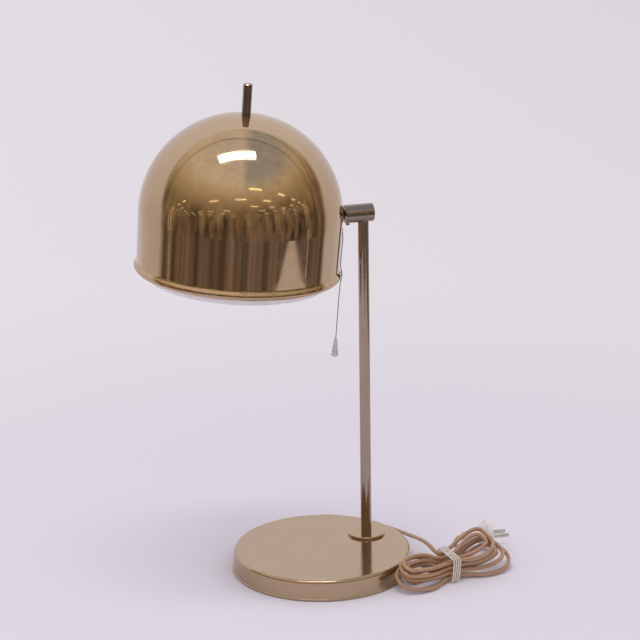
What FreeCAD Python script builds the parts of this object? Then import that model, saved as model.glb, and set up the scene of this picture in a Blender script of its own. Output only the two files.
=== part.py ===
"""Dome shade desk lamp: round weighted base, offset stem, swivel barrel, tilting dome.

Millimetres, +Z up. The origin is the centre of the base's underside, on the table,
and the arm reaches from the stem towards -X.
"""
import FreeCAD, Part
import math
import os

from FreeCAD import Placement, Rotation, Vector

os.makedirs("parts", exist_ok=True)

# ---- base -------------------------------------------------------------------------
base_radius = 100.0
base_height = 23.0
base_draft = 2.0
base_edge_radius = 3.5
base_wall = 1.5
base_lip = 0.6
base_lip_height = 1.6
base_lip_slope = 0.5
base_float = 0.8
pad_thickness = 1.5
pad_inset = 4.0
plate_thickness = 1.5
plate_gap = 0.4
weight_thickness = 8.5
weight_gap = 3.0
notch_length = 22.0
notch_overlap = 4.0
notch_floor = 5.0
boss_radius = 6.0
boss_inset = 28.0
boss_count = 3
first_boss_angle = 170.0
screw_radius = 2.0
screw_head_radius = 3.6
screw_head_height = 1.2
screw_length = 9.0
screw_hole_gap = 0.1
screw_head_gap = 0.4

# ---- stem -------------------------------------------------------------------------
stem_inset = 41.7
stem_y = 22.8
stem_radius = 6.0
stem_wall = 1.0
collar_radius = 20.75
collar_thickness = 2.8
collar_edge = 1.2
nipple_bore = 3.5
nipple_reach = 14.0
nipple_tip = 1.0
thread_gap = 0.03
face_gap = 0.02
overcut = 1.0
foot_washer_radius = 15.0
foot_washer_thickness = 1.4
foot_nut_flats = 17.0
foot_nut_height = 4.0
nut_turned_off = 0.97

# ---- barrel on the stem's top -----------------------------------------------------
arm_height = 397.6
barrel_radius = 10.0
barrel_reach = 21.5
barrel_back = 8.6
barrel_front_bore = 6.6
barrel_rear_bore = 6.0
barrel_step = 6.2
barrel_seat_lap = 0.1
barrel_edge = 0.6
cap_thickness = 2.2
cap_edge = 1.4
cap_spigot = 3.0
running_gap = 0.06
seat_gap = 0.06
swivel_washer_thickness = 0.5
swivel_pin_radius = 4.0
swivel_pin_bore = 2.2
swivel_pin_depth = 13.0
saddle_radius = 5.0
saddle_height = 2.5
clip_thickness = 0.9
clip_groove = 0.6
clip_play = 0.02
clip_mouth = 2.4
clip_rim = 0.2
pin_head = 0.8

# ---- ball and neck ----------------------------------------------------------------
ball_radius = 5.5
ball_offset = 12.5
neck_radius = 3.0
neck_bore = 1.7
flange_radius = 7.0
flange_thickness = 1.8
neck_thread_radius = 4.0
neck_thread_length = 9.0
neck_washer_radius = 8.0
neck_washer_thickness = 1.0
neck_nut_flats = 13.0
neck_nut_height = 3.5
spring_thickness = 1.1
seat_depth = 3.4
seat_bore = 3.6
seat_play = 0.05
spring_rim = 0.3
ring_length = 6.2
ring_recess = 0.8
ring_mouth = 5.6
ring_throat = 4.2
set_screw_radius = 1.5
set_screw_head = 2.0
set_screw_offset = 17.6
set_screw_drop = 2.2
set_screw_socket = 0.9
set_screw_socket_depth = 1.2
set_screw_neck = 0.3

# ---- shade ------------------------------------------------------------------------
shade_lean = 4.6
neck_reach = 14.8
dome_radius = 110.0
dome_wall = 1.0
skirt_depth = 50.8
skirt_taper = 0.7
bead_depth = 59.5
bead_reach = 2.0
bead_roll = 4.5
bead_fillet = 4.0
roll_end = -215.0
stud_end_gap = 0.5
handle_radius = 5.0
handle_length = 33.0
handle_edge = 0.8
handle_socket = 9.0
stud_radius = 4.0
stud_length = 23.0
stud_washer_radius = 8.0
stud_washer_thickness = 1.0
stud_nut_flats = 13.0
stud_nut_height = 4.5
stud_nut_drop = 0.6

# ---- lampholder and bulb ----------------------------------------------------------
holder_radius = 19.0
holder_wall = 2.6
holder_length = 34.0
holder_cap_height = 20.0
holder_bevel = 6.0
holder_thread_gap = 0.5
holder_spigot = 3.0
cable_entry = 11.4
holder_insert_thickness = 4.0
shell_radius = 14.4
shell_wall = 0.6
shell_length = 24.0
contact_radius = 4.0
contact_height = 2.2
bulb_cap_radius = 13.4
bulb_cap_length = 26.0
bulb_radius = 30.0
bulb_length = 80.0
bulb_glass_wall = 1.2
bulb_cap_shoulder = 5.0
bulb_neck_inset = 0.4
bulb_neck_height = 4.0
bulb_tangent = 40.0

# ---- pull switch ------------------------------------------------------------------
pull_angle = -15.0
pull_drop = 9.4
eyelet_radius = 1.3
eyelet_bore = 0.8
eyelet_flange = 2.3
eyelet_rise = 0.6
switch_width = 16.0
switch_height = 20.0
switch_depth = 11.0
switch_corner = 1.5
thread_radius = 0.5
thread_lift = 0.15
thread_end = 137.0
knot_radius = 1.1
bell_top = 133.0
bell_length = 19.0
bell_top_radius = 1.9
bell_radius = 4.0
bell_wall = 0.9
bell_hole_gap = 0.12
bell_tip = 1.2
bell_shoulder = 5.0
bell_shoulder_flare = 0.35
bell_mouth_bevel = 0.5
thread_step = 1.9
thread_start = 1.5
thread_hang = 1.3
bush_reach = 2.4

# ---- diffuser ---------------------------------------------------------------------
diffuser_room = 9.4
diffuser_wall = 2.2
diffuser_top = 47.0
diffuser_bottom = 73.6
diffuser_edge = 9.0
diffuser_sag = 2.0
clip_count = 3
spring_clip_width = 9.0
spring_clip_thickness = 0.8
spring_clip_height = 16.0
spring_clip_rise = 9.0
spring_clip_bend = 3.0
spring_clip_gap = 0.3
spring_clip_tip = 0.6
first_clip_angle = 70.0

# ---- mains cord, tie and plug -----------------------------------------------------
cord_diameter = 4.5
cord_gap = 0.05
arc_share = 0.45
gland_angle = 80.0
gland_height = 10.0
gland_radius = 4.6
gland_flange = 6.0
gland_flange_thickness = 1.6
gland_sleeve = 3.6
gland_sleeve_length = 3.5
gland_nut_radius = 6.2
gland_nut_thickness = 3.0
gland_nut_gap = 0.48
gland_seat_gap = 0.2
gland_depth = 8.0
gland_step = 0.3
core_radius = 1.6
core_drop = 4.8
cable_end_gap = 0.2
cable_wander = 0.45
cable_straight = 10.0
hank_out = 22.0
hank_y = -77.0
hank_angle = 17.0
hank_loops = 6
hank_layers = 4
hank_lift = 0.05
waist_lift = 0.4
lobe_slope = 0.42
waist_slope = 0.2
waist_offset = 1.2
waist_step = 6.4
waist_pitch = 5.7
lobe_left = 51.0
lobe_right = 68.0
lobe_step = 7.2
lobe_left_width = 5.0
lobe_right_width = 6.0
lobe_near_extra = 5.0
left_pitch = 5.8
right_pitch = 7.4
top_draw = 7.0
loose_reach = 5.0
loose_width = 5.0
uneven_reach = 0.6
uneven_turns = 2.1
layer_change = 0.25
right_far = 0.80
right_near = 0.68
left_widest = 0.60
tie_turns = 4
tie_radius = 0.8
tie_pitch = 2.1
tie_slant = 0.10
tie_corner = 3.6
tie_clearance = 0.9
tie_top_room = 1.4
tie_lift = 0.15
tie_shift = 1.0
hank_exit = 9.0
tail_exit = 7.02
plug_right = 40.5
plug_behind = 71.5
plug_angle = -7.0
plug_face_radius = 17.5
plug_face_depth = 14.0
plug_back_radius = 8.6
plug_tail_radius = 6.4
plug_back_length = 19.0
plug_socket = 4.0
plug_straight = 4.6
plug_rim = 1.6
plug_edge = 1.0
plug_tail_edge = 0.8
plug_tail_rise = 1.2
plug_flare = 1.4
plug_flare_length = 3.0
plug_face_step = 2.2
plug_cone_length = 6.3
pin_radius = 2.4
pin_length = 19.0
pin_spacing = 19.0
pin_roll = -8.0
plug_screw_radius = 2.2
plug_screw_height = 0.8
plug_slot_width = 0.8
plug_slot_depth = 0.4

# ---- worked-out places ------------------------------------------------------------
AXIS_X = Vector(1, 0, 0)
AXIS_Y = Vector(0, 1, 0)
AXIS_Z = Vector(0, 0, 1)
base_top_radius = base_radius - base_draft
base_wall_foot = base_float + base_lip_height + base_lip_slope
base_shoulder = base_height - base_edge_radius
boss_circle = base_radius - boss_inset
stem_x = base_radius - stem_inset
base_inner_top = base_height - base_wall
weight_bottom = base_inner_top - weight_thickness
plate_top = pad_thickness + plate_thickness
foot_washer_bottom = weight_bottom - foot_washer_thickness
foot_nut_bottom = foot_washer_bottom - foot_nut_height
barrel_seat = arm_height - math.sqrt(barrel_radius ** 2 - stem_radius ** 2) + barrel_seat_lap
stem_top = barrel_seat - swivel_washer_thickness
stem_bore = stem_radius - stem_wall
lean = math.radians(shade_lean)
shade_distance = dome_radius + neck_reach
bead_radius = dome_radius + bead_reach
diffuser_radius = dome_radius - diffuser_room
pivot = Vector(stem_x - ball_offset, stem_y, arm_height)
shade_centre = pivot + Vector(-shade_distance * math.cos(lean), 0, shade_distance * math.sin(lean))
in_stem = Placement(Vector(stem_x, stem_y, 0), Rotation())
in_arm = Placement(Vector(stem_x, stem_y, arm_height), Rotation())
in_shade = Placement(shade_centre, Rotation(AXIS_Y, shade_lean))
in_hank = Placement(Vector(base_radius + hank_out, hank_y, 0), Rotation(AXIS_Z, hank_angle))
plug_height = plug_face_radius
plug_place = in_hank.Base + Vector(plug_right, plug_behind, plug_height)
in_plug = Placement(plug_place, Rotation(AXIS_Z, plug_angle))
cord_radius = cord_diameter / 2
per_layer = hank_loops / hank_layers
made = {}


# ---- helpers ----------------------------------------------------------------------
def keep(name, shape):
    """Keep one finished sub-part under its node name."""
    made[name] = shape
    return shape


def ring(outer, inner, low, high):
    """A round tube, or a plain rod where inner is 0, along Z from low to high."""
    body = Part.makeCylinder(outer, high - low, Vector(0, 0, low))
    if inner > 0:
        body = body.cut(Part.makeCylinder(inner, high - low + 2 * overcut, Vector(0, 0, low - overcut)))
    return body


class Outline:
    """A closed outline in the radius-height plane, turned about Z into a solid."""

    def __init__(self, r, z):
        self.start = self.here = Vector(r, 0, z)
        self.edges = []

    def line(self, r, z):
        """Add a straight edge."""
        there = Vector(r, 0, z)
        if there.distanceToPoint(self.here) > 1e-7:
            self.edges.append(Part.LineSegment(self.here, there).toShape())
        self.here = there
        return self

    def arc(self, r, z, radius, first, last):
        """Add an arc about (r, z) between two angles in degrees."""
        spot = [Vector(r + radius * math.cos(math.radians(a)), 0, z + radius * math.sin(math.radians(a)))
                for a in (first, (first + last) / 2, last)]
        self.line(spot[0].x, spot[0].z)
        self.edges.append(Part.Arc(self.here, spot[1], spot[2]).toShape())
        self.here = spot[2]
        return self

    def turned(self):
        """Close the outline and turn it about Z."""
        self.line(self.start.x, self.start.z)
        return Part.Face(Part.Wire(self.edges)).revolve(Vector(0, 0, 0), AXIS_Z, 360)


def hex_nut(flats, bore, low, height):
    """A hexagon nut along Z with its outer corners turned off."""
    corner = flats / math.sqrt(3)
    points = [Vector(corner * math.cos(math.radians(60 * i)), corner * math.sin(math.radians(60 * i)), low)
              for i in range(7)]
    prism = Part.Face(Part.makePolygon(points)).extrude(Vector(0, 0, height))
    turned_off = Part.makeCylinder(corner * nut_turned_off, height, Vector(0, 0, low))
    return prism.common(turned_off).cut(ring(bore, 0, low - overcut, low + height + overcut))


def lay_along_x(shape):
    """Turn a piece modelled along Z so that its Z runs along +X."""
    return placed(shape, Placement(Vector(), Rotation(AXIS_Y, 90)))


def placed(shape, placement):
    """A copy of the shape moved by a placement, on top of where it already is."""
    copy = shape.copy()
    copy.Placement = placement.multiply(copy.Placement)
    return copy


def tube_along(wire, radius, start, heading):
    """A solid round tube along a wire."""
    circle = Part.Wire(Part.makeCircle(radius, start, heading))
    return wire.makePipeShell([circle], True, False)


def rounded_route(points, name):
    """Straight runs joined by tangent arcs as large as the two runs allow."""
    corners = []
    for before, at, after in zip(points, points[1:], points[2:]):
        into, out = at - before, after - at
        turn = into.getAngle(out)
        reach = arc_share * min(into.Length, out.Length)
        inward = at - into.normalize() * reach
        outward = at + out.normalize() * reach
        radius = reach / math.tan(turn / 2)
        bisector = (inward + outward) * 0.5 - at
        middle = at + bisector.normalize() * (radius / math.cos(turn / 2) - radius)
        corners.append((inward, middle, outward, radius, radius * turn))
    edges, length, here = [], 0.0, points[0]
    for inward, middle, outward, radius, swept in corners:
        edges.append(Part.LineSegment(here, inward).toShape())
        edges.append(Part.Arc(inward, middle, outward).toShape())
        length += here.distanceToPoint(inward) + swept
        here = outward
    edges.append(Part.LineSegment(here, points[-1]).toShape())
    length += here.distanceToPoint(points[-1])
    print(name, "arc radii", [round(c[3], 1) for c in corners], "length", round(length, 1))
    return Part.Wire(edges), length


def route_tube(points, radius, name):
    """A tube along a rounded route, with its volume compared with section times length."""
    wire, length = rounded_route(points, name)
    tube = tube_along(wire, radius, points[0], points[1] - points[0])
    print(name, "volume over section times length", round(tube.Volume / (math.pi * radius ** 2 * length), 4))
    return tube


def arc_from(start, heading, end, turned_round=False):
    """The arc that leaves start along heading and ends at end, or a line where it is straight."""
    first, last = (end, start) if turned_round else (start, end)
    chord = end - start
    side = chord - heading * chord.dot(heading)
    if side.Length < 1e-6:
        return Part.LineSegment(first, last).toShape()
    side.normalize()
    radius = chord.dot(chord) / (2 * chord.dot(side))
    centre = start + side * radius
    spoke = (start - centre) + (end - centre)
    middle = centre + spoke.normalize() * radius
    return Part.Arc(first, middle, last).toShape()


def biarc(start, heading, end, arrival):
    """Two tangent arcs between two points with given headings."""
    chord = end - start
    both = heading + arrival
    spread = 2 * (1 - heading.dot(arrival))
    if spread < 1e-9:
        reach = chord.dot(chord) / (4 * chord.dot(arrival))
    else:
        along = chord.dot(both)
        reach = (-along + math.sqrt(along ** 2 + spread * chord.dot(chord))) / spread
    joint = (start + heading * reach + end - arrival * reach) * 0.5
    return [arc_from(start, heading, joint), arc_from(end, arrival * -1, joint, turned_round=True)]


def least_gap(edges, diameter, step=1.5):
    """The least distance between parts of one tube that lie apart along it, less its diameter."""
    points, run = [], 0.0
    for edge in edges:
        steps = max(2, int(edge.Length / step))
        first, last = edge.FirstParameter, edge.LastParameter
        for i in range(steps):
            points.append((edge.valueAt(first + (last - first) * i / steps), run + edge.Length * i / steps))
        run += edge.Length
    least = 1e9
    for i, (a, at) in enumerate(points):
        for b, bt in points[i + 1:]:
            if bt - at > 3 * diameter:
                gap = a.distanceToPoint(b)
                if gap < least:
                    least = gap
    return least - diameter


# ---- base -------------------------------------------------------------------------
def base_cover():
    """Spun cover with a flat top, a rounded shoulder and a small lip at the foot."""
    wall_foot = base_radius - base_lip
    outer = Outline(wall_foot - base_wall, base_float)
    outer.line(base_radius, base_float).line(base_radius, base_float + base_lip_height)
    outer.line(wall_foot, base_wall_foot)
    outer.arc(base_top_radius - base_edge_radius, base_shoulder, base_edge_radius, 0, 90)
    outer.line(0, base_height).line(0, base_inner_top)
    outer.arc(base_top_radius - base_edge_radius, base_shoulder, base_edge_radius - base_wall, 90, 0)
    outer.line(wall_foot - base_wall, base_wall_foot)
    cover = outer.turned()
    stem_hole = placed(ring(stem_bore + thread_gap, 0, base_inner_top - overcut, base_height + overcut), in_stem)
    return cover.cut(stem_hole).cut(gland_hole())


def gland_hole():
    """The round hole through the back wall that the cord's gland sits in."""
    hole = ring(gland_radius + cord_gap, 0, gland_seat() - gland_depth, gland_seat() + gland_flange_thickness)
    return placed(lay_along_x(hole), gland_place())


def wall_outside(height):
    """Outer radius of the cover's sloping wall at a height."""
    share = (height - base_wall_foot) / (base_shoulder - base_wall_foot)
    foot = base_radius - base_lip
    return foot + (base_top_radius - foot) * share


def gland_seat():
    """How far out the gland's flange sits, clear of the wall below it."""
    return wall_outside(gland_height - gland_flange) + gland_seat_gap


def gland_place():
    """Where the gland's axis lies: out through the wall at the gland's angle and height."""
    return Placement(Vector(0, 0, gland_height), Rotation(AXIS_Z, gland_angle))


def boss_places():
    """The centres of the weight's screw bosses."""
    turns = [math.radians(first_boss_angle + 360 * i / boss_count) for i in range(boss_count)]
    return [Vector(boss_circle * math.cos(t), boss_circle * math.sin(t), 0) for t in turns]


def base_weight():
    """Cast disc under the cover's top, with screw bosses, a stem hole and a cord notch."""
    radius = base_top_radius - base_edge_radius - weight_gap
    weight = ring(radius, 0, weight_bottom, base_inner_top)
    for spot in boss_places():
        weight = weight.fuse(Part.makeCylinder(boss_radius, weight_bottom - plate_top + overcut,
                                               Vector(spot.x, spot.y, plate_top)))
    for spot in boss_places():
        weight = weight.cut(Part.makeCylinder(screw_radius + thread_gap, screw_length + overcut,
                                              Vector(spot.x, spot.y, plate_top - overcut)))
    weight = weight.cut(placed(ring(stem_bore + thread_gap, 0, weight_bottom - overcut, base_height), in_stem))
    notch = Part.makeBox(notch_length, 4 * gland_nut_radius, weight_thickness - notch_floor + overcut,
                         Vector(radius + notch_overlap - notch_length, -2 * gland_nut_radius,
                                weight_bottom - overcut))
    notch.rotate(Vector(), AXIS_Z, gland_angle)
    return weight.cut(notch).removeSplitter()


def base_underside():
    """Closing plate, its screws and the pad that the lamp rests on."""
    plate_radius = base_radius - base_lip - base_wall - plate_gap
    plate = ring(plate_radius, 0, pad_thickness, plate_top)
    pad = ring(plate_radius - pad_inset, 0, 0, pad_thickness)
    screws = []
    for spot in boss_places():
        shank = Part.makeCylinder(screw_radius, screw_length, Vector(spot.x, spot.y, pad_thickness))
        head = Part.makeCylinder(screw_head_radius, screw_head_height,
                                 Vector(spot.x, spot.y, pad_thickness - screw_head_height))
        screws.append(shank.fuse(head).removeSplitter())
        plate = plate.cut(Part.makeCylinder(screw_radius + screw_hole_gap, plate_top + overcut, spot))
        pad = pad.cut(Part.makeCylinder(screw_head_radius + screw_head_gap, plate_top, spot))
    keep("base_plate", plate)
    keep("base_pad", pad)
    keep("base_screws", Part.makeCompound(screws))


# ---- stem -------------------------------------------------------------------------
def stem():
    """Tube, foot collar, foot nipple with washer and nut, and the turned pin in its top."""
    keep("stem_tube", placed(ring(stem_radius, stem_bore, base_height, stem_top), in_stem))
    collar = Outline(stem_radius + thread_gap, base_height)
    collar.line(collar_radius, base_height)
    collar.line(collar_radius, base_height + collar_thickness - collar_edge)
    collar.arc(collar_radius - collar_edge, base_height + collar_thickness - collar_edge, collar_edge, 0, 90)
    collar.line(stem_radius + thread_gap, base_height + collar_thickness)
    keep("stem_collar", placed(collar.turned(), in_stem))
    nipple = ring(stem_bore - thread_gap, nipple_bore, foot_nut_bottom - nipple_tip, base_height + nipple_reach)
    keep("foot_nipple", placed(nipple, in_stem))
    washer = ring(foot_washer_radius, stem_bore + thread_gap, foot_washer_bottom, weight_bottom)
    keep("foot_washer", placed(washer, in_stem))
    keep("foot_nut", placed(hex_nut(foot_nut_flats, stem_bore, foot_nut_bottom, foot_nut_height), in_stem))
    pin = Outline(swivel_pin_bore, stem_top - swivel_pin_depth)
    pin.line(stem_bore - thread_gap, stem_top - swivel_pin_depth).line(stem_bore - thread_gap, stem_top)
    pin.line(swivel_pin_radius, stem_top).line(swivel_pin_radius, clip_bottom())
    pin.line(swivel_pin_radius - clip_groove, clip_bottom())
    pin.line(swivel_pin_radius - clip_groove, clip_bottom() + clip_thickness)
    pin.line(swivel_pin_radius, clip_bottom() + clip_thickness)
    pin.line(swivel_pin_radius, clip_bottom() + clip_thickness + pin_head)
    pin.line(swivel_pin_bore, clip_bottom() + clip_thickness + pin_head)
    keep("swivel_pin", placed(pin.turned(), in_stem))
    clip = ring(saddle_radius - clip_rim, swivel_pin_radius - clip_groove + clip_play,
                clip_bottom() + clip_play, clip_bottom() + clip_thickness - clip_play)
    mouth = Part.makeBox(saddle_radius, clip_mouth, 3 * clip_thickness,
                         Vector(0, -clip_mouth / 2, clip_bottom() - clip_thickness))
    keep("swivel_clip", placed(clip.cut(mouth), in_stem))
    washer = ring(stem_radius - clip_rim, swivel_pin_radius + running_gap, stem_top, barrel_seat)
    keep("swivel_washer", placed(washer, in_stem))


def clip_bottom():
    """Height of the retaining clip's groove, on top of the saddle washer."""
    return arm_height - barrel_rear_bore + saddle_height


# ---- barrel -----------------------------------------------------------------------
def barrel():
    """Cross barrel: bored right through, stepped, with the stem's seat in its underside."""
    screw_place = Placement(Vector(-set_screw_offset, 0, 0), Rotation())
    body = Outline(0, -barrel_reach)
    body.line(barrel_radius - barrel_edge, -barrel_reach)
    body.line(barrel_radius, -barrel_reach + barrel_edge)
    body.line(barrel_radius, barrel_back).line(0, barrel_back)
    bored = lay_along_x(body.turned())
    bored = bored.cut(lay_along_x(ring(barrel_front_bore, 0, -barrel_reach - overcut, -barrel_step)))
    bored = bored.cut(lay_along_x(ring(barrel_rear_bore, 0, -barrel_step - overcut, barrel_back + overcut)))
    seat = ring(stem_radius + running_gap, 0, -barrel_radius - overcut, barrel_seat - arm_height)
    pin_hole = ring(swivel_pin_radius + running_gap, 0, -barrel_radius, 0)
    screw_hole = placed(ring(set_screw_radius + thread_gap, 0, -barrel_radius - overcut, 0), screw_place)
    bored = bored.cut(seat).cut(pin_hole).cut(screw_hole)
    keep("joint_barrel", placed(bored, in_arm))
    cap = Outline(0, barrel_back - cap_spigot)
    cap.line(barrel_rear_bore - thread_gap, barrel_back - cap_spigot)
    cap.line(barrel_rear_bore - thread_gap, barrel_back).line(barrel_radius, barrel_back)
    cap.line(barrel_radius, barrel_back + cap_thickness - cap_edge)
    cap.arc(barrel_radius - cap_edge, barrel_back + cap_thickness - cap_edge, cap_edge, 0, 90)
    cap.line(0, barrel_back + cap_thickness)
    keep("barrel_cap", placed(lay_along_x(cap.turned()), in_arm))
    saddle = ring(saddle_radius, swivel_pin_radius + running_gap, -barrel_rear_bore - overcut,
                  -barrel_rear_bore + saddle_height)
    saddle = saddle.common(lay_along_x(ring(barrel_rear_bore - clip_play, 0, -barrel_radius, barrel_radius)))
    keep("saddle_washer", placed(saddle, in_arm))


def ball_joint():
    """Spring, rear seat, retaining ring and set screw that hold the ball in the barrel."""
    spring = Outline(seat_bore, -spring_thickness)
    spring_edge = barrel_front_bore - spring_rim
    spring.line(spring_edge, -spring_thickness / 2).line(spring_edge, 0)
    spring.line(seat_bore, -spring_thickness / 2)
    spring_solid = lay_along_x(spring.turned())
    keep("ball_spring", placed(placed(spring_solid, Placement(Vector(-barrel_step, 0, 0), Rotation())), in_arm))
    ball_space = Part.makeSphere(ball_radius + running_gap, Vector(-ball_offset, 0, 0))
    seat_back = -barrel_step - spring_thickness
    seat = lay_along_x(ring(barrel_front_bore - seat_play, seat_bore, seat_back - seat_depth, seat_back))
    keep("ball_seat", placed(seat.cut(ball_space), in_arm))
    front = -barrel_reach + ring_recess
    retainer = Outline(ring_mouth, front)
    retainer.line(barrel_front_bore - thread_gap, front)
    retainer.line(barrel_front_bore - thread_gap, front + ring_length)
    retainer.line(ring_throat, front + ring_length).line(ring_throat, front + ring_length / 2)
    keep("retaining_ring", placed(lay_along_x(retainer.turned()).cut(ball_space), in_arm))
    tip = -barrel_front_bore
    head_face = -barrel_radius - set_screw_drop
    screw = ring(set_screw_radius, 0, -barrel_radius - set_screw_neck, tip)
    head = ring(set_screw_head, 0, head_face, -barrel_radius - face_gap)
    socket = ring(set_screw_socket, 0, head_face - overcut, head_face + set_screw_socket_depth)
    placed_screw = placed(screw.fuse(head).cut(socket).removeSplitter(),
                          Placement(Vector(-set_screw_offset, 0, 0), Rotation()))
    keep("set_screw", placed(placed_screw, in_arm))


# ---- neck, in the shade's frame: the ball lies on +X --------------------------------
def neck():
    """Ball, slim neck, flange and threaded end in one turned piece, with washers and nut."""
    seat = dome_radius + face_gap
    body = lay_along_x(ring(neck_radius, 0, seat, shade_distance))
    body = body.fuse(Part.makeSphere(ball_radius, Vector(shade_distance, 0, 0)))
    body = body.fuse(lay_along_x(ring(flange_radius, 0, seat, seat + flange_thickness)))
    thread_foot = seat - neck_thread_length
    body = body.fuse(lay_along_x(ring(neck_thread_radius, 0, thread_foot, seat)))
    body = body.cut(lay_along_x(ring(neck_bore, 0, thread_foot - overcut, shade_distance + ball_radius + overcut)))
    keep("ball_neck", placed(body.removeSplitter(), in_shade))
    inside = inner_flat(neck_washer_radius)
    washer = lay_along_x(ring(neck_washer_radius, neck_thread_radius + thread_gap,
                              inside - neck_washer_thickness, inside))
    keep("neck_washer", placed(washer, in_shade))
    nut_low = inside - neck_washer_thickness - neck_nut_height
    nut = lay_along_x(hex_nut(neck_nut_flats, neck_thread_radius, nut_low, neck_nut_height))
    keep("neck_nut", placed(nut, in_shade))


def inner_flat(radius):
    """Distance from the dome's centre of a flat disc of this radius laid in the dome."""
    return math.sqrt((dome_radius - dome_wall) ** 2 - radius ** 2) - face_gap


# ---- shade ------------------------------------------------------------------------
def shade_dome():
    """Spun shell: half sphere, nearly straight skirt and a bead rolled at the rim."""
    inner_radius = dome_radius - dome_wall
    skirt_radius = dome_radius - skirt_taper
    roll_r = bead_radius - bead_roll
    fillet_r = skirt_radius + bead_fillet
    fillet_z = -bead_depth + math.sqrt((bead_roll + bead_fillet) ** 2 - (fillet_r - roll_r) ** 2)
    meet = math.degrees(math.atan2(fillet_z + bead_depth, fillet_r - roll_r))
    shell = Outline(0, inner_radius).line(0, dome_radius)
    shell.arc(0, 0, dome_radius, 90, 0)
    shell.arc(fillet_r, fillet_z, bead_fillet, 180, 180 + meet)
    shell.arc(roll_r, -bead_depth, bead_roll, meet, roll_end)
    shell.arc(roll_r, -bead_depth, bead_roll - dome_wall, roll_end, meet)
    shell.arc(fillet_r, fillet_z, bead_fillet + dome_wall, 180 + meet, 180)
    shell.arc(0, 0, inner_radius, 0, 90)
    dome = shell.turned()
    inside, outside = inner_radius - dome_wall, dome_radius + dome_wall
    neck_hole = lay_along_x(ring(neck_thread_radius + running_gap, 0, inside, outside))
    stud_hole = ring(stud_radius + thread_gap, 0, inside, outside)
    eyelet_hole = pull_placed(lay_along_x(ring(eyelet_radius + thread_gap, 0, inside, outside)))
    keep("shade_dome", placed(dome.cut(neck_hole).cut(stud_hole).cut(eyelet_hole), in_shade))


def skirt_outside(depth):
    """Outer radius of the skirt at a depth below the dome's centre."""
    return dome_radius - skirt_taper * min(depth / skirt_depth, 1.0)


def skirt_inside(depth):
    """Inner radius of the skirt at a depth below the dome's centre."""
    return skirt_outside(depth) - dome_wall


def pull_placed(shape):
    """Move a piece made about +X to the pull's angle and height on the dome."""
    return placed(shape, Placement(Vector(0, 0, -pull_drop), Rotation(AXIS_Z, pull_angle)))


def handle():
    """Handle rod on the apex, the stud that it screws onto, and the washer and nut inside."""
    base = dome_radius + face_gap
    rod = Outline(0, base).line(handle_radius, base)
    rod.line(handle_radius, base + handle_length - handle_edge)
    rod.line(handle_radius - handle_edge, base + handle_length).line(0, base + handle_length)
    socket = ring(stud_radius + thread_gap, 0, base - overcut, base + handle_socket)
    keep("handle_rod", placed(rod.turned().cut(socket), in_shade))
    top = base + handle_socket - stud_end_gap
    keep("shade_stud", placed(ring(stud_radius, 0, top - stud_length - handle_socket, top), in_shade))
    inside = inner_flat(stud_washer_radius)
    washer = ring(stud_washer_radius, stud_radius + thread_gap, inside - stud_washer_thickness, inside)
    keep("stud_washer", placed(washer, in_shade))
    nut_low = inside - stud_washer_thickness - stud_nut_height
    keep("stud_nut", placed(hex_nut(stud_nut_flats, stud_radius, nut_low, stud_nut_height), in_shade))
    return nut_low


def lampholder(under_nut):
    """Holder cap screwed on the stud, sleeve, insert, screw shell and centre contact."""
    top = under_nut - stud_nut_drop
    bottom = top - holder_cap_height
    inside = holder_radius - holder_wall
    cap = Outline(stud_radius + thread_gap, top).line(holder_radius - holder_bevel, top)
    cap.line(holder_radius, top - holder_bevel).line(holder_radius, bottom)
    cap.line(inside, bottom).line(inside, top - holder_bevel)
    cap.line(inside + holder_wall / 2 - holder_bevel, top - holder_wall)
    cap.line(stud_radius + thread_gap, top - holder_wall)
    entry = lay_along_x(ring(core_radius + cord_gap, 0, 0, holder_radius + overcut))
    entry = placed(entry, Placement(Vector(0, 0, top - cable_entry), Rotation()))
    keep("holder_cap", placed(cap.turned().cut(entry), in_shade))
    sleeve_top = bottom
    sleeve_bottom = sleeve_top - holder_length
    sleeve = ring(holder_radius, shell_radius + holder_thread_gap, sleeve_bottom, sleeve_top)
    keep("holder_sleeve", placed(sleeve, in_shade))
    insert_bottom = sleeve_top - holder_insert_thickness
    insert = ring(shell_radius + holder_thread_gap - seat_play, 0, insert_bottom, sleeve_top)
    insert = insert.fuse(ring(inside - seat_play, 0, sleeve_top, sleeve_top + holder_spigot))
    keep("holder_insert", placed(insert.removeSplitter(), in_shade))
    shell = ring(shell_radius, shell_radius - shell_wall, insert_bottom - shell_length, insert_bottom)
    keep("holder_shell", placed(shell, in_shade))
    contact = ring(contact_radius, 0, insert_bottom - contact_height, insert_bottom)
    keep("holder_contact", placed(contact, in_shade))
    return insert_bottom - contact_height


def bulb(cap_top):
    """Bulb: metal screw cap and a pear-shaped frosted envelope."""
    cap_bottom = cap_top - bulb_cap_length
    cap = Outline(0, cap_top).line(contact_radius, cap_top).line(bulb_cap_radius, cap_top - bulb_cap_shoulder)
    cap.line(bulb_cap_radius, cap_bottom).line(0, cap_bottom)
    keep("bulb_cap", placed(cap.turned(), in_shade))
    centre = cap_bottom - (bulb_length - bulb_radius)
    neck_r = bulb_cap_radius - bulb_neck_inset

    def envelope(inset):
        sphere_r = bulb_radius - inset
        shoulder_r = sphere_r * math.cos(math.radians(bulb_tangent))
        shoulder_z = centre + sphere_r * math.sin(math.radians(bulb_tangent))
        body = Outline(0, cap_bottom).line(neck_r - inset, cap_bottom)
        body.line(neck_r - inset, cap_bottom - bulb_neck_height).line(shoulder_r, shoulder_z)
        body.arc(0, centre, sphere_r, bulb_tangent, -90)
        return body.turned()

    keep("bulb_glass", placed(envelope(0).cut(envelope(bulb_glass_wall)), in_shade))


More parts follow.
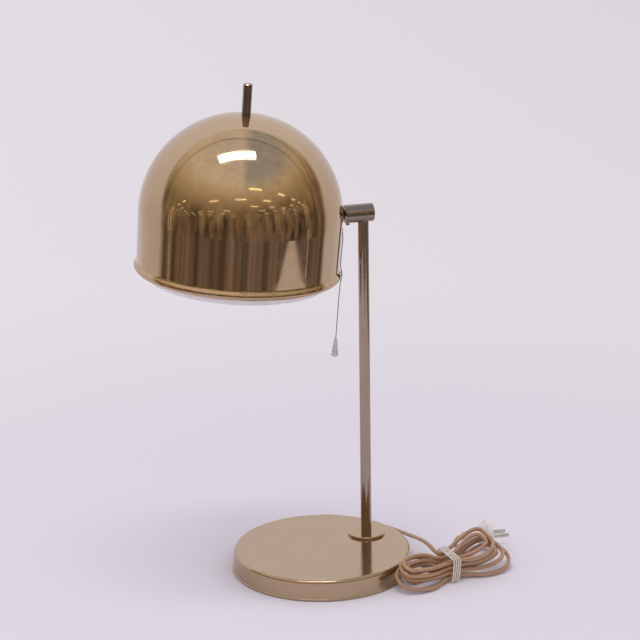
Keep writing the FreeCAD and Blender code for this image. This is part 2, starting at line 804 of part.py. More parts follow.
def pull_switch():
    """Switch box inside the wall, its eyelet, the thread down the outside and the bell."""
    wall_out = skirt_outside(pull_drop)
    wall_in = skirt_inside(pull_drop)
    flange = lay_along_x(ring(eyelet_flange, eyelet_bore, wall_out + seat_gap, wall_out + eyelet_rise))
    bush = lay_along_x(ring(eyelet_radius, eyelet_bore, wall_in - bush_reach, wall_out + eyelet_rise))
    keep("cord_eyelet", placed(pull_placed(flange.fuse(bush).removeSplitter()), in_shade))
    box_face = math.sqrt(skirt_inside(pull_drop + switch_height / 2) ** 2 - (switch_width / 2) ** 2) - seat_gap
    box = Part.makeBox(switch_depth, switch_width, switch_height,
                       Vector(box_face - switch_depth, -switch_width / 2, -switch_height / 2))
    upright = [e for e in box.Edges if abs(e.Vertexes[0].Z - e.Vertexes[-1].Z) > switch_height / 2]
    box = box.makeFillet(switch_corner, upright)
    box = box.cut(lay_along_x(ring(eyelet_radius + seat_play, 0, box_face - switch_depth / 2, box_face + overcut)))
    keep("switch_box", placed(pull_placed(box), in_shade))
    side = Placement(Vector(), Rotation(AXIS_Z, pull_angle))
    lift = thread_radius + thread_lift
    on_bead = bead_radius + lift
    route = [Vector(wall_in - thread_start, 0, -pull_drop), Vector(wall_out + thread_step, 0, -pull_drop),
             Vector(skirt_outside(skirt_depth) + lift + seat_gap, 0, -skirt_depth),
             Vector(on_bead + seat_gap, 0, -bead_depth + bead_roll / 2),
             Vector(on_bead - thread_lift, 0, -bead_depth - bead_roll * 0.75),
             Vector(on_bead - thread_hang - lift / 2, 0, -bead_depth - 2 * bead_roll - bead_fillet),
             Vector(on_bead - thread_hang - lift, 0, -thread_end)]
    thread = route_tube(route, thread_radius, "pull_cord")
    thread = thread.fuse(Part.makeSphere(knot_radius, route[-1]))
    keep("pull_cord", placed(placed(thread, side), in_shade))
    hang = route[-1].x
    hole = thread_radius + bell_hole_gap
    bell = Outline(hole, -bell_top).line(bell_top_radius, -bell_top)
    mouth = -bell_top - bell_length
    shoulder = -bell_top - bell_shoulder
    bell.line(bell_top_radius + bell_shoulder_flare, shoulder).line(bell_radius, mouth + bell_tip)
    bell.line(bell_radius - bell_mouth_bevel, mouth).line(bell_radius - bell_wall, mouth)
    bell.line(bell_top_radius + bell_shoulder_flare / 3, shoulder - bell_mouth_bevel)
    bell.line(bell_top_radius - bell_shoulder_flare, -bell_top - 2 * bell_tip)
    bell.line(hole, -bell_top - bell_tip)
    solid = placed(bell.turned(), Placement(Vector(hang, 0, 0), Rotation()))
    keep("cord_pull", placed(placed(solid, side), in_shade))


def diffuser():
    """Opal bowl with a rounded edge, and the spring clips in the skirt that grip it."""
    low = -diffuser_bottom
    edge_r = diffuser_radius - diffuser_edge
    bowl = Outline(diffuser_radius - diffuser_wall, -diffuser_top).line(diffuser_radius, -diffuser_top)
    bowl.arc(edge_r, low + diffuser_edge, diffuser_edge, 0, -90)
    bowl.line(0, low - diffuser_sag).line(0, low - diffuser_sag + diffuser_wall)
    bowl.line(edge_r, low + diffuser_wall)
    bowl.arc(edge_r, low + diffuser_edge, diffuser_edge - diffuser_wall, -90, 0)
    keep("diffuser", placed(bowl.turned(), in_shade))
    bend = spring_clip_bend
    top = -diffuser_top + spring_clip_rise
    bottom = top - spring_clip_height
    seat = skirt_inside(-bottom) - spring_clip_width ** 2 / (8 * dome_radius) - face_gap
    tip = diffuser_radius + spring_clip_gap
    profile = [Vector(seat, 0, top), Vector(seat, 0, bottom), Vector(tip, 0, bottom + bend),
               Vector(tip + spring_clip_tip, 0, bottom + bend + spring_clip_thickness),
               Vector(seat - spring_clip_thickness, 0, bottom + 2 * spring_clip_thickness),
               Vector(seat - spring_clip_thickness, 0, top), Vector(seat, 0, top)]
    clips = []
    for i in range(clip_count):
        strip = Part.Face(Part.makePolygon(profile)).extrude(Vector(0, spring_clip_width, 0))
        strip.translate(Vector(0, -spring_clip_width / 2, 0))
        strip.rotate(Vector(), AXIS_Z, first_clip_angle + 360 * i / clip_count)
        clips.append(strip)
    keep("diffuser_clips", placed(Part.makeCompound(clips), in_shade))


def shade_cable(entry):
    """Twin-core cable from the neck's bore, round the dome's wall, into the holder's cap.

    The first points are distances inwards from the neck's inner end, and heights above it.
    """
    start = dome_radius - neck_thread_length - cable_end_gap
    by_wall = [(0, 0), (6, 1), (14, 10), (22, 26), (38, 48), (58, 66)]
    route = [Vector(start - inward, 0, up) for inward, up in by_wall]
    route += [Vector(holder_radius + cable_straight, 0, entry),
              Vector(holder_radius - holder_wall + cable_end_gap, 0, entry)]
    keep("shade_cable", placed(route_tube(route, core_radius, "shade_cable"), in_shade))


# ---- inner cable, gland, cord, tie and plug -----------------------------------------
def gland():
    """Gland through the back wall with its nut, and the cable from it up to the barrel."""
    seat = gland_seat()
    face = seat + gland_flange_thickness
    body = Outline(cord_radius + cord_gap, seat - gland_depth)
    body.line(gland_radius, seat - gland_depth).line(gland_radius, seat).line(gland_flange, seat)
    body.line(gland_flange, face).line(gland_radius, face + gland_step)
    body.line(gland_sleeve, face + gland_sleeve_length).line(cord_radius + cord_gap, face + gland_sleeve_length)
    keep("cord_gland", placed(lay_along_x(body.turned()), gland_place()))
    nut_out = wall_outside(gland_height + gland_nut_radius) - base_wall - gland_nut_gap
    nut = ring(gland_nut_radius, gland_radius + thread_gap, nut_out - gland_nut_thickness, nut_out)
    keep("gland_nut", placed(lay_along_x(nut), gland_place()))


def gland_mouth():
    """The point where the cord leaves the gland, and its heading there."""
    reach = gland_seat() + gland_flange_thickness + gland_sleeve_length
    heading = Vector(math.cos(math.radians(gland_angle)), math.sin(math.radians(gland_angle)), 0)
    return heading * reach + Vector(0, 0, gland_height), heading


def inner_cable():
    """Cable in the base and stem: from the gland, along the plate, up the stem to the barrel."""
    _, outward = gland_mouth()
    inner_end = gland_seat() - gland_depth - cable_end_gap
    foot = Vector(stem_x, stem_y, core_drop)
    route = [outward * inner_end + Vector(0, 0, gland_height), outward * (inner_end - 7) + Vector(0, 0, 8),
             outward * (inner_end - 19) + Vector(2, 0, core_drop + 0.4), foot + Vector(-28.3, 27.2, 0),
             foot + Vector(-12.3, 12.2, 0), foot + Vector(-5, 5, 0), foot, foot + Vector(0, 0, 9),
             foot + Vector(0.3, 0, 22)]
    rise = (stem_top - base_height) / 6
    route += [Vector(stem_x + cable_wander * (-1) ** i, stem_y, base_height + rise * i) for i in range(1, 6)]
    route += [Vector(stem_x, stem_y, stem_top - 8), Vector(stem_x + 0.15, stem_y, arm_height - 3)]
    keep("inner_cable", route_tube(route, core_radius, "inner_cable"))


def cord_lead():
    """The cord from the gland round the base to the tie.

    The first points are turns about the base in degrees, distances out from its rim and
    heights. The last ones are in the hank's own frame.
    """
    mouth, _ = gland_mouth()
    (joint, joint_heading), _ = hank_ends()
    round_base = [(79.9, 15.3, 9.7), (76.85, 25.7, 8.2), (71.65, 33.4, 5.8), (63.6, 35.1, 4.2),
                  (54.2, 32.5, 3.6), (43.55, 26.3, 4.6), (31.25, 17.6, 8.2), (17.65, 8.9, 14.6),
                  (3.3, 4.5, 21.6), (-10.0, 7.0, 27.8), (-20.2, 14.2, 31.6)]
    by_hank = [(-6.2, 25.4, 31.8), (-7.9, 15.7, 30.2), (-5.0, 10.3, 26.8), (2.0, 10.3, 25.6)]
    route = [mouth] + [round_the_base(*spot) for spot in round_base]
    route += [in_hank.multVec(Vector(*spot)) for spot in by_hank]
    route += [joint - joint_heading * hank_exit, joint]
    keep("cord_lead", route_tube(route, cord_radius, "cord_lead"))


def round_the_base(turn, out, height):
    """A point at a turn about the base, so far out from its rim and so high."""
    reach = base_radius + out
    return Vector(reach * math.cos(math.radians(turn)), reach * math.sin(math.radians(turn)), height)


def hank_point(turns):
    """Centre of the cord in the hank's own frame after this many loops.

    Loops lie in layers that step down to the table, each spiralling in or out, with the
    far runs higher than the near ones. Eight points make a loop: two at the waist, one at
    each end and four where the lobes are widest. The last loop lies loose and larger.
    """
    eighth = round(turns * 8) % 8
    spiral = abs((turns % (2 * per_layer)) - per_layer)
    layer = hank_layers - 1 - sum(ramp(turns, per_layer * k) for k in range(1, hank_layers))
    loose = max(int(turns) - hank_loops + 2, 0)
    right = eighth in (1, 2, 3)
    low = cord_radius + hank_lift
    if eighth in (0, 4):
        across = waist_offset + waist_step * spiral
        widest = waist_offset + waist_step * per_layer
        across = across if eighth == 0 else -across
        low += 2 * tie_radius + waist_lift
        return Vector(0, across, low + waist_slope * (across + widest) + waist_pitch * layer)
    reach = lobe_step * spiral + loose_reach * loose + uneven_reach * math.sin(uneven_turns * turns)
    width = lobe_step * spiral + loose_width * loose
    if right:
        reach += lobe_right - top_draw * layer
        width += lobe_right_width
        near = width + lobe_near_extra
        widest = lobe_right_width + lobe_near_extra + lobe_step * per_layer + loose_width
    else:
        reach += lobe_left
        width += lobe_left_width
        near = width
        widest = lobe_left_width + lobe_step * per_layer + loose_width
    along, across = {1: (right_far, width), 2: (1, 0), 3: (right_near, -near),
                     5: (-left_widest, -near), 6: (-1, 0), 7: (-left_widest, width)}[eighth]
    pitch = right_pitch if right else left_pitch
    return Vector(along * reach, across, low + lobe_slope * (across + widest) + pitch * layer)


def ramp(turns, at):
    """0 before a change of layer, 1 after it, and a smooth climb along the run between."""
    part = min(max((turns - at) / layer_change + 0.5, 0.0), 1.0)
    return part * part * (3 - 2 * part)


def hank_heading(turns):
    """Level heading of the cord at an eighth of a loop, tipped along its climb."""
    eighth = round(turns * 8) % 8
    flat = {0: Vector(1, 0, 0), 1: Vector(1, 0, 0), 2: Vector(0, -1, 0), 3: Vector(-1, 0, 0),
            4: Vector(-1, 0, 0), 5: Vector(-1, 0, 0), 6: Vector(0, 1, 0), 7: Vector(1, 0, 0)}[eighth]
    before = hank_point(max(turns - 1 / 8, 0))
    after = hank_point(turns + 1 / 8)
    level = math.hypot(after.x - before.x, after.y - before.y)
    return (flat + Vector(0, 0, (after.z - before.z) / level)).normalize()


def hank_edges():
    """Edges of the hank's centre line in its own frame, with its first and last points.

    The line starts and ends just past the tie, halfway from the waist to the lobe, so the
    cord inside the tie belongs to the lead and the tail.
    """
    marks = [i / 8 for i in range(hank_loops * 8 + 2)]
    nodes = [(hank_point(mark), hank_heading(mark)) for mark in marks]
    edges = []
    for (start, heading), (end, arrival) in zip(nodes, nodes[1:]):
        edges += biarc(start, heading, end, arrival)
    edges = edges[1:-1]
    first, last = edges[0], edges[-1]
    start = first.valueAt(first.FirstParameter)
    start_heading = first.tangentAt(first.FirstParameter)
    end = last.valueAt(last.LastParameter)
    end_heading = last.tangentAt(last.LastParameter)
    lead_joint = start - start_heading * cord_diameter
    tail_joint = end + end_heading * cord_diameter
    edges.insert(0, Part.LineSegment(lead_joint, start).toShape())
    edges.append(Part.LineSegment(end, tail_joint).toShape())
    return edges, (lead_joint, start_heading), (tail_joint, end_heading)


def hank_ends():
    """World points and headings where the lead joins the hank and where the tail leaves it."""
    _, lead_end, tail_end = hank_edges()
    return [(in_hank.multVec(point), in_hank.Rotation.multVec(heading)) for point, heading in (lead_end, tail_end)]


def cord_hank():
    """The coiled cord: one tube through every loop, in the layers of hank_point."""
    edges, (start, heading), _ = hank_edges()
    wire = Part.Wire(edges)
    print("cord_hank least gap to itself", round(least_gap(edges, cord_diameter), 2),
          "length", round(wire.Length, 0))
    tube = tube_along(wire, cord_radius, start, heading)
    print("cord_hank volume over section times length",
          round(tube.Volume / (math.pi * cord_radius ** 2 * wire.Length), 4), "valid", tube.isValid())
    keep("cord_hank", placed(tube, in_hank))


def cord_tail():
    """The cord from the tie, low behind the hank, to the plug's back."""
    _, (joint, joint_heading) = hank_ends()
    behind = [(47.5, 29.2, 19.6), (45.2, 36.8, 15.6), (43.8, 45.7, 12.2), (46.9, 54.2, 12.0)]
    route = [joint, joint + joint_heading * tail_exit] + [in_hank.multVec(Vector(*spot)) for spot in behind]
    route += [in_plug.multVec(Vector(-plug_straight, 0, 0)), in_plug.multVec(Vector(plug_socket - seat_gap, 0, 0))]
    keep("cord_tail", route_tube(route, cord_radius, "cord_tail"))


def cord_tie():
    """Elastic band wound round the waist, each turn beside the last and all of them slanting."""
    low = tie_radius + tie_lift
    widest = waist_offset + waist_step * per_layer
    half = widest + cord_radius + tie_radius + tie_clearance
    height = (2 * cord_radius + waist_pitch * (hank_layers - 1) + 2 * tie_radius + 2 * tie_clearance
              + tie_top_room)
    corner = tie_corner
    path = [(half - corner, 0, 1, 0), (half, corner, 0, 1), (half, height - corner, 0, 1),
            (half - corner, height, -1, 0), (-half + corner, height, -1, 0), (-half, height - corner, 0, -1),
            (-half, corner, 0, -1), (-half + corner, 0, 1, 0)]
    total = 0.0
    places = []
    for turn in range(tie_turns):
        for k, (across, up, side_a, side_u) in enumerate(path):
            previous = path[k - 1]
            if turn or k:
                total += math.hypot(across - previous[0], up - previous[1])
            places.append((total, across, up, side_a, side_u))
    per_turn = total / tie_turns * (1 + 1 / (8 * tie_turns - 1))
    advance = tie_pitch / per_turn
    nodes = []
    for run, across, up, side_a, side_u in places:
        raised = low + up + waist_slope * (across + widest)
        along = tie_shift + advance * run - tie_pitch * tie_turns / 2 + tie_slant * (up - height / 2)
        side = Vector(advance + tie_slant * side_u, side_a, side_u + waist_slope * side_a)
        nodes.append((Vector(along, across, raised), side.normalize()))
    edges = []
    for (start, heading), (end, arrival) in zip(nodes, nodes[1:]):
        if heading.getAngle(arrival) < 1e-4:
            edges.append(Part.LineSegment(start, end).toShape())
        else:
            edges += biarc(start, heading, end, arrival)
    print("cord_tie least gap to itself", round(least_gap(edges, 2 * tie_radius), 2))
    band = tube_along(Part.Wire(edges), tie_radius, nodes[0][0], nodes[0][1])
    keep("cord_tie", placed(band, in_hank))


def plug():
    """Round two-pin plug lying on its rim: face, tapered back, two pins and a cover screw."""
    back = Outline(cord_radius + cord_gap, 0)
    back.line(plug_tail_radius - plug_tail_edge, 0).line(plug_tail_radius, plug_tail_rise)
    back.line(plug_back_radius, plug_back_length - plug_flare_length)
    back.line(plug_back_radius + plug_flare, plug_back_length)
    back.line(0, plug_back_length).line(0, plug_socket).line(cord_radius + cord_gap, plug_socket)
    keep("plug_back", placed(lay_along_x(back.turned()), in_plug))
    rim_back = plug_back_length + plug_cone_length
    face_x = plug_back_length + plug_face_depth
    face = Outline(0, plug_back_length).line(plug_back_radius + plug_face_step, plug_back_length)
    face.line(plug_face_radius - plug_rim, rim_back).line(plug_face_radius, rim_back + plug_rim)
    face.line(plug_face_radius, face_x - plug_edge).line(plug_face_radius - plug_edge, face_x)
    face.line(0, face_x)
    keep("plug_face", placed(lay_along_x(face.turned()), in_plug))
    pins = []
    roll = math.radians(pin_roll)
    for side in (-1, 1):
        spot = Vector(0, side * pin_spacing / 2 * math.cos(roll), side * pin_spacing / 2 * math.sin(roll))
        pin = Outline(0, face_x).line(pin_radius, face_x).line(pin_radius, face_x + pin_length - pin_radius)
        pin.arc(0, face_x + pin_length - pin_radius, pin_radius, 0, 90)
        pins.append(placed(lay_along_x(pin.turned()), Placement(spot, Rotation())))
    keep("plug_pins", placed(Part.makeCompound(pins), in_plug))
    screw = ring(plug_screw_radius, 0, face_x, face_x + plug_screw_height)
    slot_end = plug_screw_radius + overcut
    screw = screw.cut(Part.makeBox(2 * slot_end, plug_slot_width, plug_screw_height,
                                   Vector(-slot_end, -plug_slot_width / 2, face_x + plug_slot_depth)))
    keep("plug_screw", placed(lay_along_x(screw), in_plug))


# ---- build ------------------------------------------------------------------------
keep("base_cover", base_cover())
keep("base_weight", base_weight())
base_underside()
stem()
barrel()
ball_joint()
neck()
shade_dome()
nut_low = handle()
cap_top = lampholder(nut_low)
bulb(cap_top)
pull_switch()
diffuser()
shade_cable(nut_low - stud_nut_drop - cable_entry)
gland()
inner_cable()
cord_lead()
cord_hank()
cord_tail()
cord_tie()
plug()

for name, shape in made.items():
    box = shape.BoundBox
    solids = shape.Solids
    good = all(s.isValid() and s.Volume > 0 for s in solids)
    print(f"{name:16s} solids {len(solids)} valid {good} volume {shape.Volume:10.1f} "
          f"x {box.XMin:7.1f} {box.XMax:7.1f} y {box.YMin:7.1f} {box.YMax:7.1f} z {box.ZMin:6.1f} {box.ZMax:6.1f}")
    shape.exportStep(f"parts/{name}.step")
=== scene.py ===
"""Looks of the dome shade desk lamp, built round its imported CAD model.

Metres, in the CAD model's frame: the origin is the centre of the base's underside, on the
table, and the shade hangs out from the stem's top towards -X.
"""
import logging
import math
from dataclasses import dataclass, field
from enum import Enum
from typing import Any, Iterable, Mapping, Optional, Sequence

import bpy
from mathutils import Matrix, Vector


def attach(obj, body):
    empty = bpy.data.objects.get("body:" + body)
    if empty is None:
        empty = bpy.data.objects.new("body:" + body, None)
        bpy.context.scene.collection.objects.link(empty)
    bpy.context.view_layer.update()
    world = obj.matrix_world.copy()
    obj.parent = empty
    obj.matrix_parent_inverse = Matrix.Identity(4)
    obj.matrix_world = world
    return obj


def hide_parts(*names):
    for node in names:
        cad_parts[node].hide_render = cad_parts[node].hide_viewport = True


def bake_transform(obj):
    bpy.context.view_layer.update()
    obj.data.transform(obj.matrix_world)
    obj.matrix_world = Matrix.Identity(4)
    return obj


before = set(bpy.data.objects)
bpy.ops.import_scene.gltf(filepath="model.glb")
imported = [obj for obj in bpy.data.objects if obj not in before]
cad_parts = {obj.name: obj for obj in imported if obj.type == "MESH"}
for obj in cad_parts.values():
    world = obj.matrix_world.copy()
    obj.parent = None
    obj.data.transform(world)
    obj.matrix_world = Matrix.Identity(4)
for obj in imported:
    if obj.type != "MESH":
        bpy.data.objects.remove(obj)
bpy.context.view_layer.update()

log = logging.getLogger("lamp")
MM = 0.001
NOISE_BAND = (0.3, 0.7)
STRAIGHT = 1e-9
LEAD_RADIUS = 1.6 * MM
Point = tuple[float, float, float]
Span = tuple[float, float]
Colour = tuple[float, float, float, float]
Nodes = bpy.types.NodeTree


class Coordinates(Enum):
    """Where a finish takes its pattern from."""

    OBJECT = "Object"
    UV = "UV"


class Body(Enum):
    """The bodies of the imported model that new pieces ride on."""

    BASE = "base"
    SHADE = "shade"
    PULL = "pull"


@dataclass(frozen=True)
class Place:
    """A turned part's own frame: a point on its axis, in metres, and its lean about Y in degrees."""

    centre: Point = (0.0, 0.0, 0.0)
    lean: float = 0.0

    def matrix(self) -> Matrix:
        """The matrix from this frame to the model's."""
        return Matrix.Translation(self.centre) @ Matrix.Rotation(math.radians(self.lean), 4, "Y")


LAMP_PLACE = Place()
STEM_PLACE = Place((0.0583, 0.0228, 0.0))
ARM_PLACE = Place((0.0583, 0.0228, 0.3976), 90.0)
SHADE_PLACE = Place((-0.078598, 0.0228, 0.407609), 4.6)


# ---- colours and nodes --------------------------------------------------------------
def linear(code: str) -> Colour:
    """Turn an sRGB hex value into a linear colour.

    Args:
        code: Six hex digits, without a hash.

    Returns:
        Red, green, blue and alpha.
    """
    parts = [int(code[i:i + 2], 16) / 255 for i in (0, 2, 4)]
    red, green, blue = (c / 12.92 if c <= 0.04045 else ((c + 0.055) / 1.055) ** 2.4 for c in parts)
    return red, green, blue, 1.0


def per_metre(size_mm: float) -> float:
    """The noise scale whose blotches lie this many millimetres apart."""
    return 1.0 / (size_mm * MM)


def stretch(span: Span, to: Span = (0.0, 1.0)) -> dict[str, float]:
    """Map Range values that stretch one span to another."""
    return dict(zip(("From Min", "From Max", "To Min", "To Max"), (*span, *to)))


def spread(low: float, high: float) -> dict[str, float]:
    """Map Range values that stretch a noise's middle band to run from low to high."""
    return stretch(NOISE_BAND, (low, high))


def add_node(tree: Nodes, kind: str, inputs: Optional[Mapping[Any, Any]] = None,
             **settings: Any) -> bpy.types.Node:
    """Add one node with its settings, values and links.

    Args:
        tree: The node tree that it goes into.
        kind: The node's type, without its ShaderNode prefix.
        inputs: Values by socket name or number. A socket is linked, and so is a node's first live output.
        settings: The node's own properties.

    Returns:
        The new node.
    """
    made = tree.nodes.new("ShaderNode" + kind)
    for name, value in settings.items():
        setattr(made, name, value)
    for key, value in (inputs or {}).items():
        if isinstance(value, bpy.types.Node):
            value = next(out for out in value.outputs if out.enabled)
        if isinstance(value, bpy.types.NodeSocket):
            tree.links.new(value, made.inputs[key])
        else:
            made.inputs[key].default_value = value
    return made


def new_material(name: str, inputs: Mapping[Any, Any]) -> tuple[bpy.types.Material, Nodes,
                                                                bpy.types.Node]:
    """Make a material with a bare surface shader.

    Args:
        name: The material's name.
        inputs: The shader's plain values.

    Returns:
        The material, its node tree and its shader, already linked to the output.
    """
    material = bpy.data.materials.new(name)
    material.use_nodes = True
    tree = material.node_tree
    tree.nodes.clear()
    shader = add_node(tree, "BsdfPrincipled", inputs)
    add_node(tree, "OutputMaterial", {"Surface": shader})
    return material, tree, shader


# ---- finishes -----------------------------------------------------------------------
@dataclass(frozen=True)
class Finish:
    """What every finish has: its name, its main and second colour, and its plain roughness."""

    name: str
    colour: str
    second: str
    roughness: float
    metallic: float = 0.0
    place: Place = LAMP_PLACE

    def material(self) -> bpy.types.Material:
        """Build the finish as a Blender material."""
        material, tree, shader = new_material(self.name, {"Metallic": self.metallic})
        self.detail(tree, shader)
        return material

    def detail(self, tree: Nodes, shader: bpy.types.Node) -> None:
        """Add the finish's own nodes, which each kind of finish does in its own way."""
        raise NotImplementedError

    def local(self, tree: Nodes) -> bpy.types.Node:
        """Object coordinates, moved into the piece's own turned frame."""
        where = add_node(tree, "TexCoord").outputs[Coordinates.OBJECT.value]
        lean = (0.0, math.radians(self.place.lean), 0.0)
        inputs = {"Vector": where, "Location": self.place.centre, "Rotation": lean}
        return add_node(tree, "Mapping", inputs, vector_type="TEXTURE")

    def dress(self, tree: Nodes, shader: bpy.types.Node, tint: bpy.types.Node, rough: bpy.types.Node,
              normal: bpy.types.Node) -> None:
        """Link the colour, roughness and bump that a finish has worked out.

        Args:
            tree: The node tree.
            shader: The surface shader.
            tint: Gives the share of the second colour.
            rough: Gives the roughness.
            normal: Gives the bumped normal.
        """
        inputs = {"Factor": tint, 6: linear(self.colour), 7: linear(self.second)}
        colour = add_node(tree, "Mix", inputs, data_type="RGBA")
        tree.links.new(colour.outputs[2], shader.inputs["Base Color"])
        tree.links.new(rough.outputs[0], shader.inputs["Roughness"])
        tree.links.new(normal.outputs["Normal"], shader.inputs["Normal"])


@dataclass(frozen=True)
class TurnedMetal(Finish):
    """Metal spun or turned on a lathe: rings round the axis, soft waves and handling marks."""

    metallic: float = 1.0
    ring_mm: float = 1.3
    ring_depth: float = 0.0000008
    wave_mm: float = 38.0
    wave_depth: float = 0.000012
    smudge: float = 0.05
    patina: float = 0.3
    stain_mm: float = 24.0
    touch_mm: float = 9.0
    ring_wear: float = 0.01

    def detail(self, tree: Nodes, shader: bpy.types.Node) -> None:
        """Rings, waves, finger smudges and a thin uneven patina."""
        local = self.local(tree)
        split = add_node(tree, "SeparateXYZ", {"Vector": local})
        flat = add_node(tree, "CombineXYZ", {"X": split.outputs["X"], "Y": split.outputs["Y"]})
        radius = add_node(tree, "VectorMath", {0: flat}, operation="LENGTH").outputs["Value"]
        along = add_node(tree, "CombineXYZ", {"X": radius, "Y": split.outputs["Z"]})
        rings = add_node(tree, "TexNoise", {"Vector": along, "Scale": per_metre(self.ring_mm), "Detail": 3.0})
        waves = add_node(tree, "TexNoise", {"Vector": local, "Scale": per_metre(self.wave_mm),
                                            "Detail": 1.0})
        stain = add_node(tree, "TexNoise", {"Vector": local, "Scale": per_metre(self.stain_mm),
                                            "Detail": 4.0})
        touch = add_node(tree, "TexNoise", {"Vector": local, "Scale": per_metre(self.touch_mm),
                                            "Detail": 5.0})
        tint = add_node(tree, "MapRange", {"Value": stain, **spread(0.0, self.patina)})
        smudged = add_node(tree, "MapRange", {"Value": touch, **spread(self.roughness,
                                                                       self.roughness + self.smudge)})
        worn = add_node(tree, "MapRange", {"Value": rings, **spread(-self.ring_wear, self.ring_wear)})
        rough = add_node(tree, "Math", {0: smudged, 1: worn}, operation="ADD")
        wavy = add_node(tree, "Bump", {"Distance": self.wave_depth, "Height": waves})
        ringed = add_node(tree, "Bump", {"Distance": self.ring_depth, "Height": rings, "Normal": wavy})
        self.dress(tree, shader, tint, rough, ringed)


@dataclass(frozen=True)
class RoughMetal(Finish):
    """Plated, pressed or cast metal: grain all over and a cloudy tone."""

    metallic: float = 1.0
    grain_mm: float = 0.8
    grain_depth: float = 0.00001
    cloud_mm: float = 7.0
    scuff: float = 0.12

    def detail(self, tree: Nodes, shader: bpy.types.Node) -> None:
        """Grain, and clouds in the plating."""
        local = self.local(tree)
        grain = add_node(tree, "TexNoise", {"Vector": local, "Scale": per_metre(self.grain_mm),
                                            "Detail": 4.0})
        cloud = add_node(tree, "TexNoise", {"Vector": local, "Scale": per_metre(self.cloud_mm),
                                            "Detail": 3.0})
        tint = add_node(tree, "MapRange", {"Value": cloud, **spread(0.0, 1.0)})
        rough = add_node(tree, "MapRange", {"Value": grain, **spread(self.roughness,
                                                                    self.roughness + self.scuff)})
        self.dress(tree, shader, tint, rough, add_node(tree, "Bump", {"Distance": self.grain_depth,
                                                                      "Height": grain}))


@dataclass(frozen=True)
class MouldedPlastic(Finish):
    """Moulded plastic or glass: a fine orange-peel skin, faint flow marks and what light passes."""

    skin_mm: float = 1.1
    skin_depth: float = 0.000006
    see_through: float = 0.0
    scatter: float = 0.0
    scatter_mm: float = 3.0
    coat: float = 0.0
    coat_roughness: float = 0.2
    flow_mm: float = 12.0
    smoother: float = 0.04
    rougher: float = 0.06
    scatter_rgb: Point = (1.0, 0.9, 0.8)

    def detail(self, tree: Nodes, shader: bpy.types.Node) -> None:
        """Skin, flow marks, and light that passes or scatters."""
        local = self.local(tree)
        skin = add_node(tree, "TexNoise", {"Vector": local, "Scale": per_metre(self.skin_mm),
                                           "Detail": 3.0})
        flow = add_node(tree, "TexNoise", {"Vector": local, "Scale": per_metre(self.flow_mm),
                                           "Detail": 3.0})
        tint = add_node(tree, "MapRange", {"Value": flow, **spread(0.0, 1.0)})
        rough = add_node(tree, "MapRange", {"Value": skin, **spread(self.roughness - self.smoother,
                                                                    self.roughness + self.rougher)})
        shader.inputs["Transmission Weight"].default_value = self.see_through
        shader.inputs["Subsurface Weight"].default_value = self.scatter
        shader.inputs["Subsurface Radius"].default_value = self.scatter_rgb
        shader.inputs["Subsurface Scale"].default_value = self.scatter_mm * MM
        shader.inputs["Coat Weight"].default_value = self.coat
        shader.inputs["Coat Roughness"].default_value = self.coat_roughness
        self.dress(tree, shader, tint, rough, add_node(tree, "Bump", {"Distance": self.skin_depth,
                                                                      "Height": skin}))


@dataclass(frozen=True)
class Felt(Finish):
    """Pressed felt: tangled fibres, lint and a soft sheen."""

    fibre_mm: float = 1.2
    fibre_depth: float = 0.0002
    lint_mm: float = 5.0
    smoother: float = 0.08
    sheen: float = 0.4

    def detail(self, tree: Nodes, shader: bpy.types.Node) -> None:
        """Fibres, lint and sheen."""
        local = self.local(tree)
        fibre = add_node(tree, "TexNoise", {"Vector": local, "Scale": per_metre(self.fibre_mm),
                                            "Detail": 6.0})
        lint = add_node(tree, "TexNoise", {"Vector": local, "Scale": per_metre(self.lint_mm),
                                           "Detail": 5.0})
        tint = add_node(tree, "MapRange", {"Value": lint, **spread(0.0, 1.0)})
        rough = add_node(tree, "MapRange", {"Value": fibre, **spread(self.roughness - self.smoother,
                                                                     self.roughness)})
        shader.inputs["Sheen Weight"].default_value = self.sheen
        self.dress(tree, shader, tint, rough, add_node(tree, "Bump", {"Distance": self.fibre_depth,
                                                                      "Height": fibre}))


@dataclass(frozen=True)
class Strand(Finish):
    """A drawn or wound strand: marks that follow its length, from the piece's own UV map."""

    length_mm: float = 1000.0
    mark_mm: float = 6.0
    ridges: float = 3.0
    ridge_depth: float = 0.00001
    twist: float = 0.0
    coat: float = 0.0
    coat_roughness: float = 0.15
    see_through: float = 0.0
    smoother: float = 0.05
    rougher: float = 0.08

    def detail(self, tree: Nodes, shader: bpy.types.Node) -> None:
        """Ridges that run along or wind round the strand, and a tint that changes along it."""
        where = add_node(tree, "TexCoord").outputs[Coordinates.UV.value]
        split = add_node(tree, "SeparateXYZ", {"Vector": where})
        marks = self.length_mm / self.mark_mm
        run = add_node(tree, "Math", {0: split.outputs["X"], 1: marks}, operation="MULTIPLY")
        turned = add_node(tree, "Math", {0: split.outputs["X"], 1: self.twist, 2: split.outputs["Y"]},
                          operation="MULTIPLY_ADD")
        wound = add_node(tree, "Math", {0: turned, 1: self.ridges * math.tau}, operation="MULTIPLY")
        ridge = add_node(tree, "Math", {0: wound}, operation="SINE")
        along = add_node(tree, "CombineXYZ", {"X": run})
        mark = add_node(tree, "TexNoise", {"Vector": along, "Scale": 1.0, "Detail": 3.0})
        tint = add_node(tree, "MapRange", {"Value": mark, **spread(0.0, 1.0)})
        rough = add_node(tree, "MapRange", {"Value": mark, **spread(self.roughness - self.smoother,
                                                                    self.roughness + self.rougher)})
        shader.inputs["Coat Weight"].default_value = self.coat
        shader.inputs["Coat Roughness"].default_value = self.coat_roughness
        shader.inputs["Transmission Weight"].default_value = self.see_through
        self.dress(tree, shader, tint, rough, add_node(tree, "Bump", {"Distance": self.ridge_depth,
                                                                      "Height": ridge}))


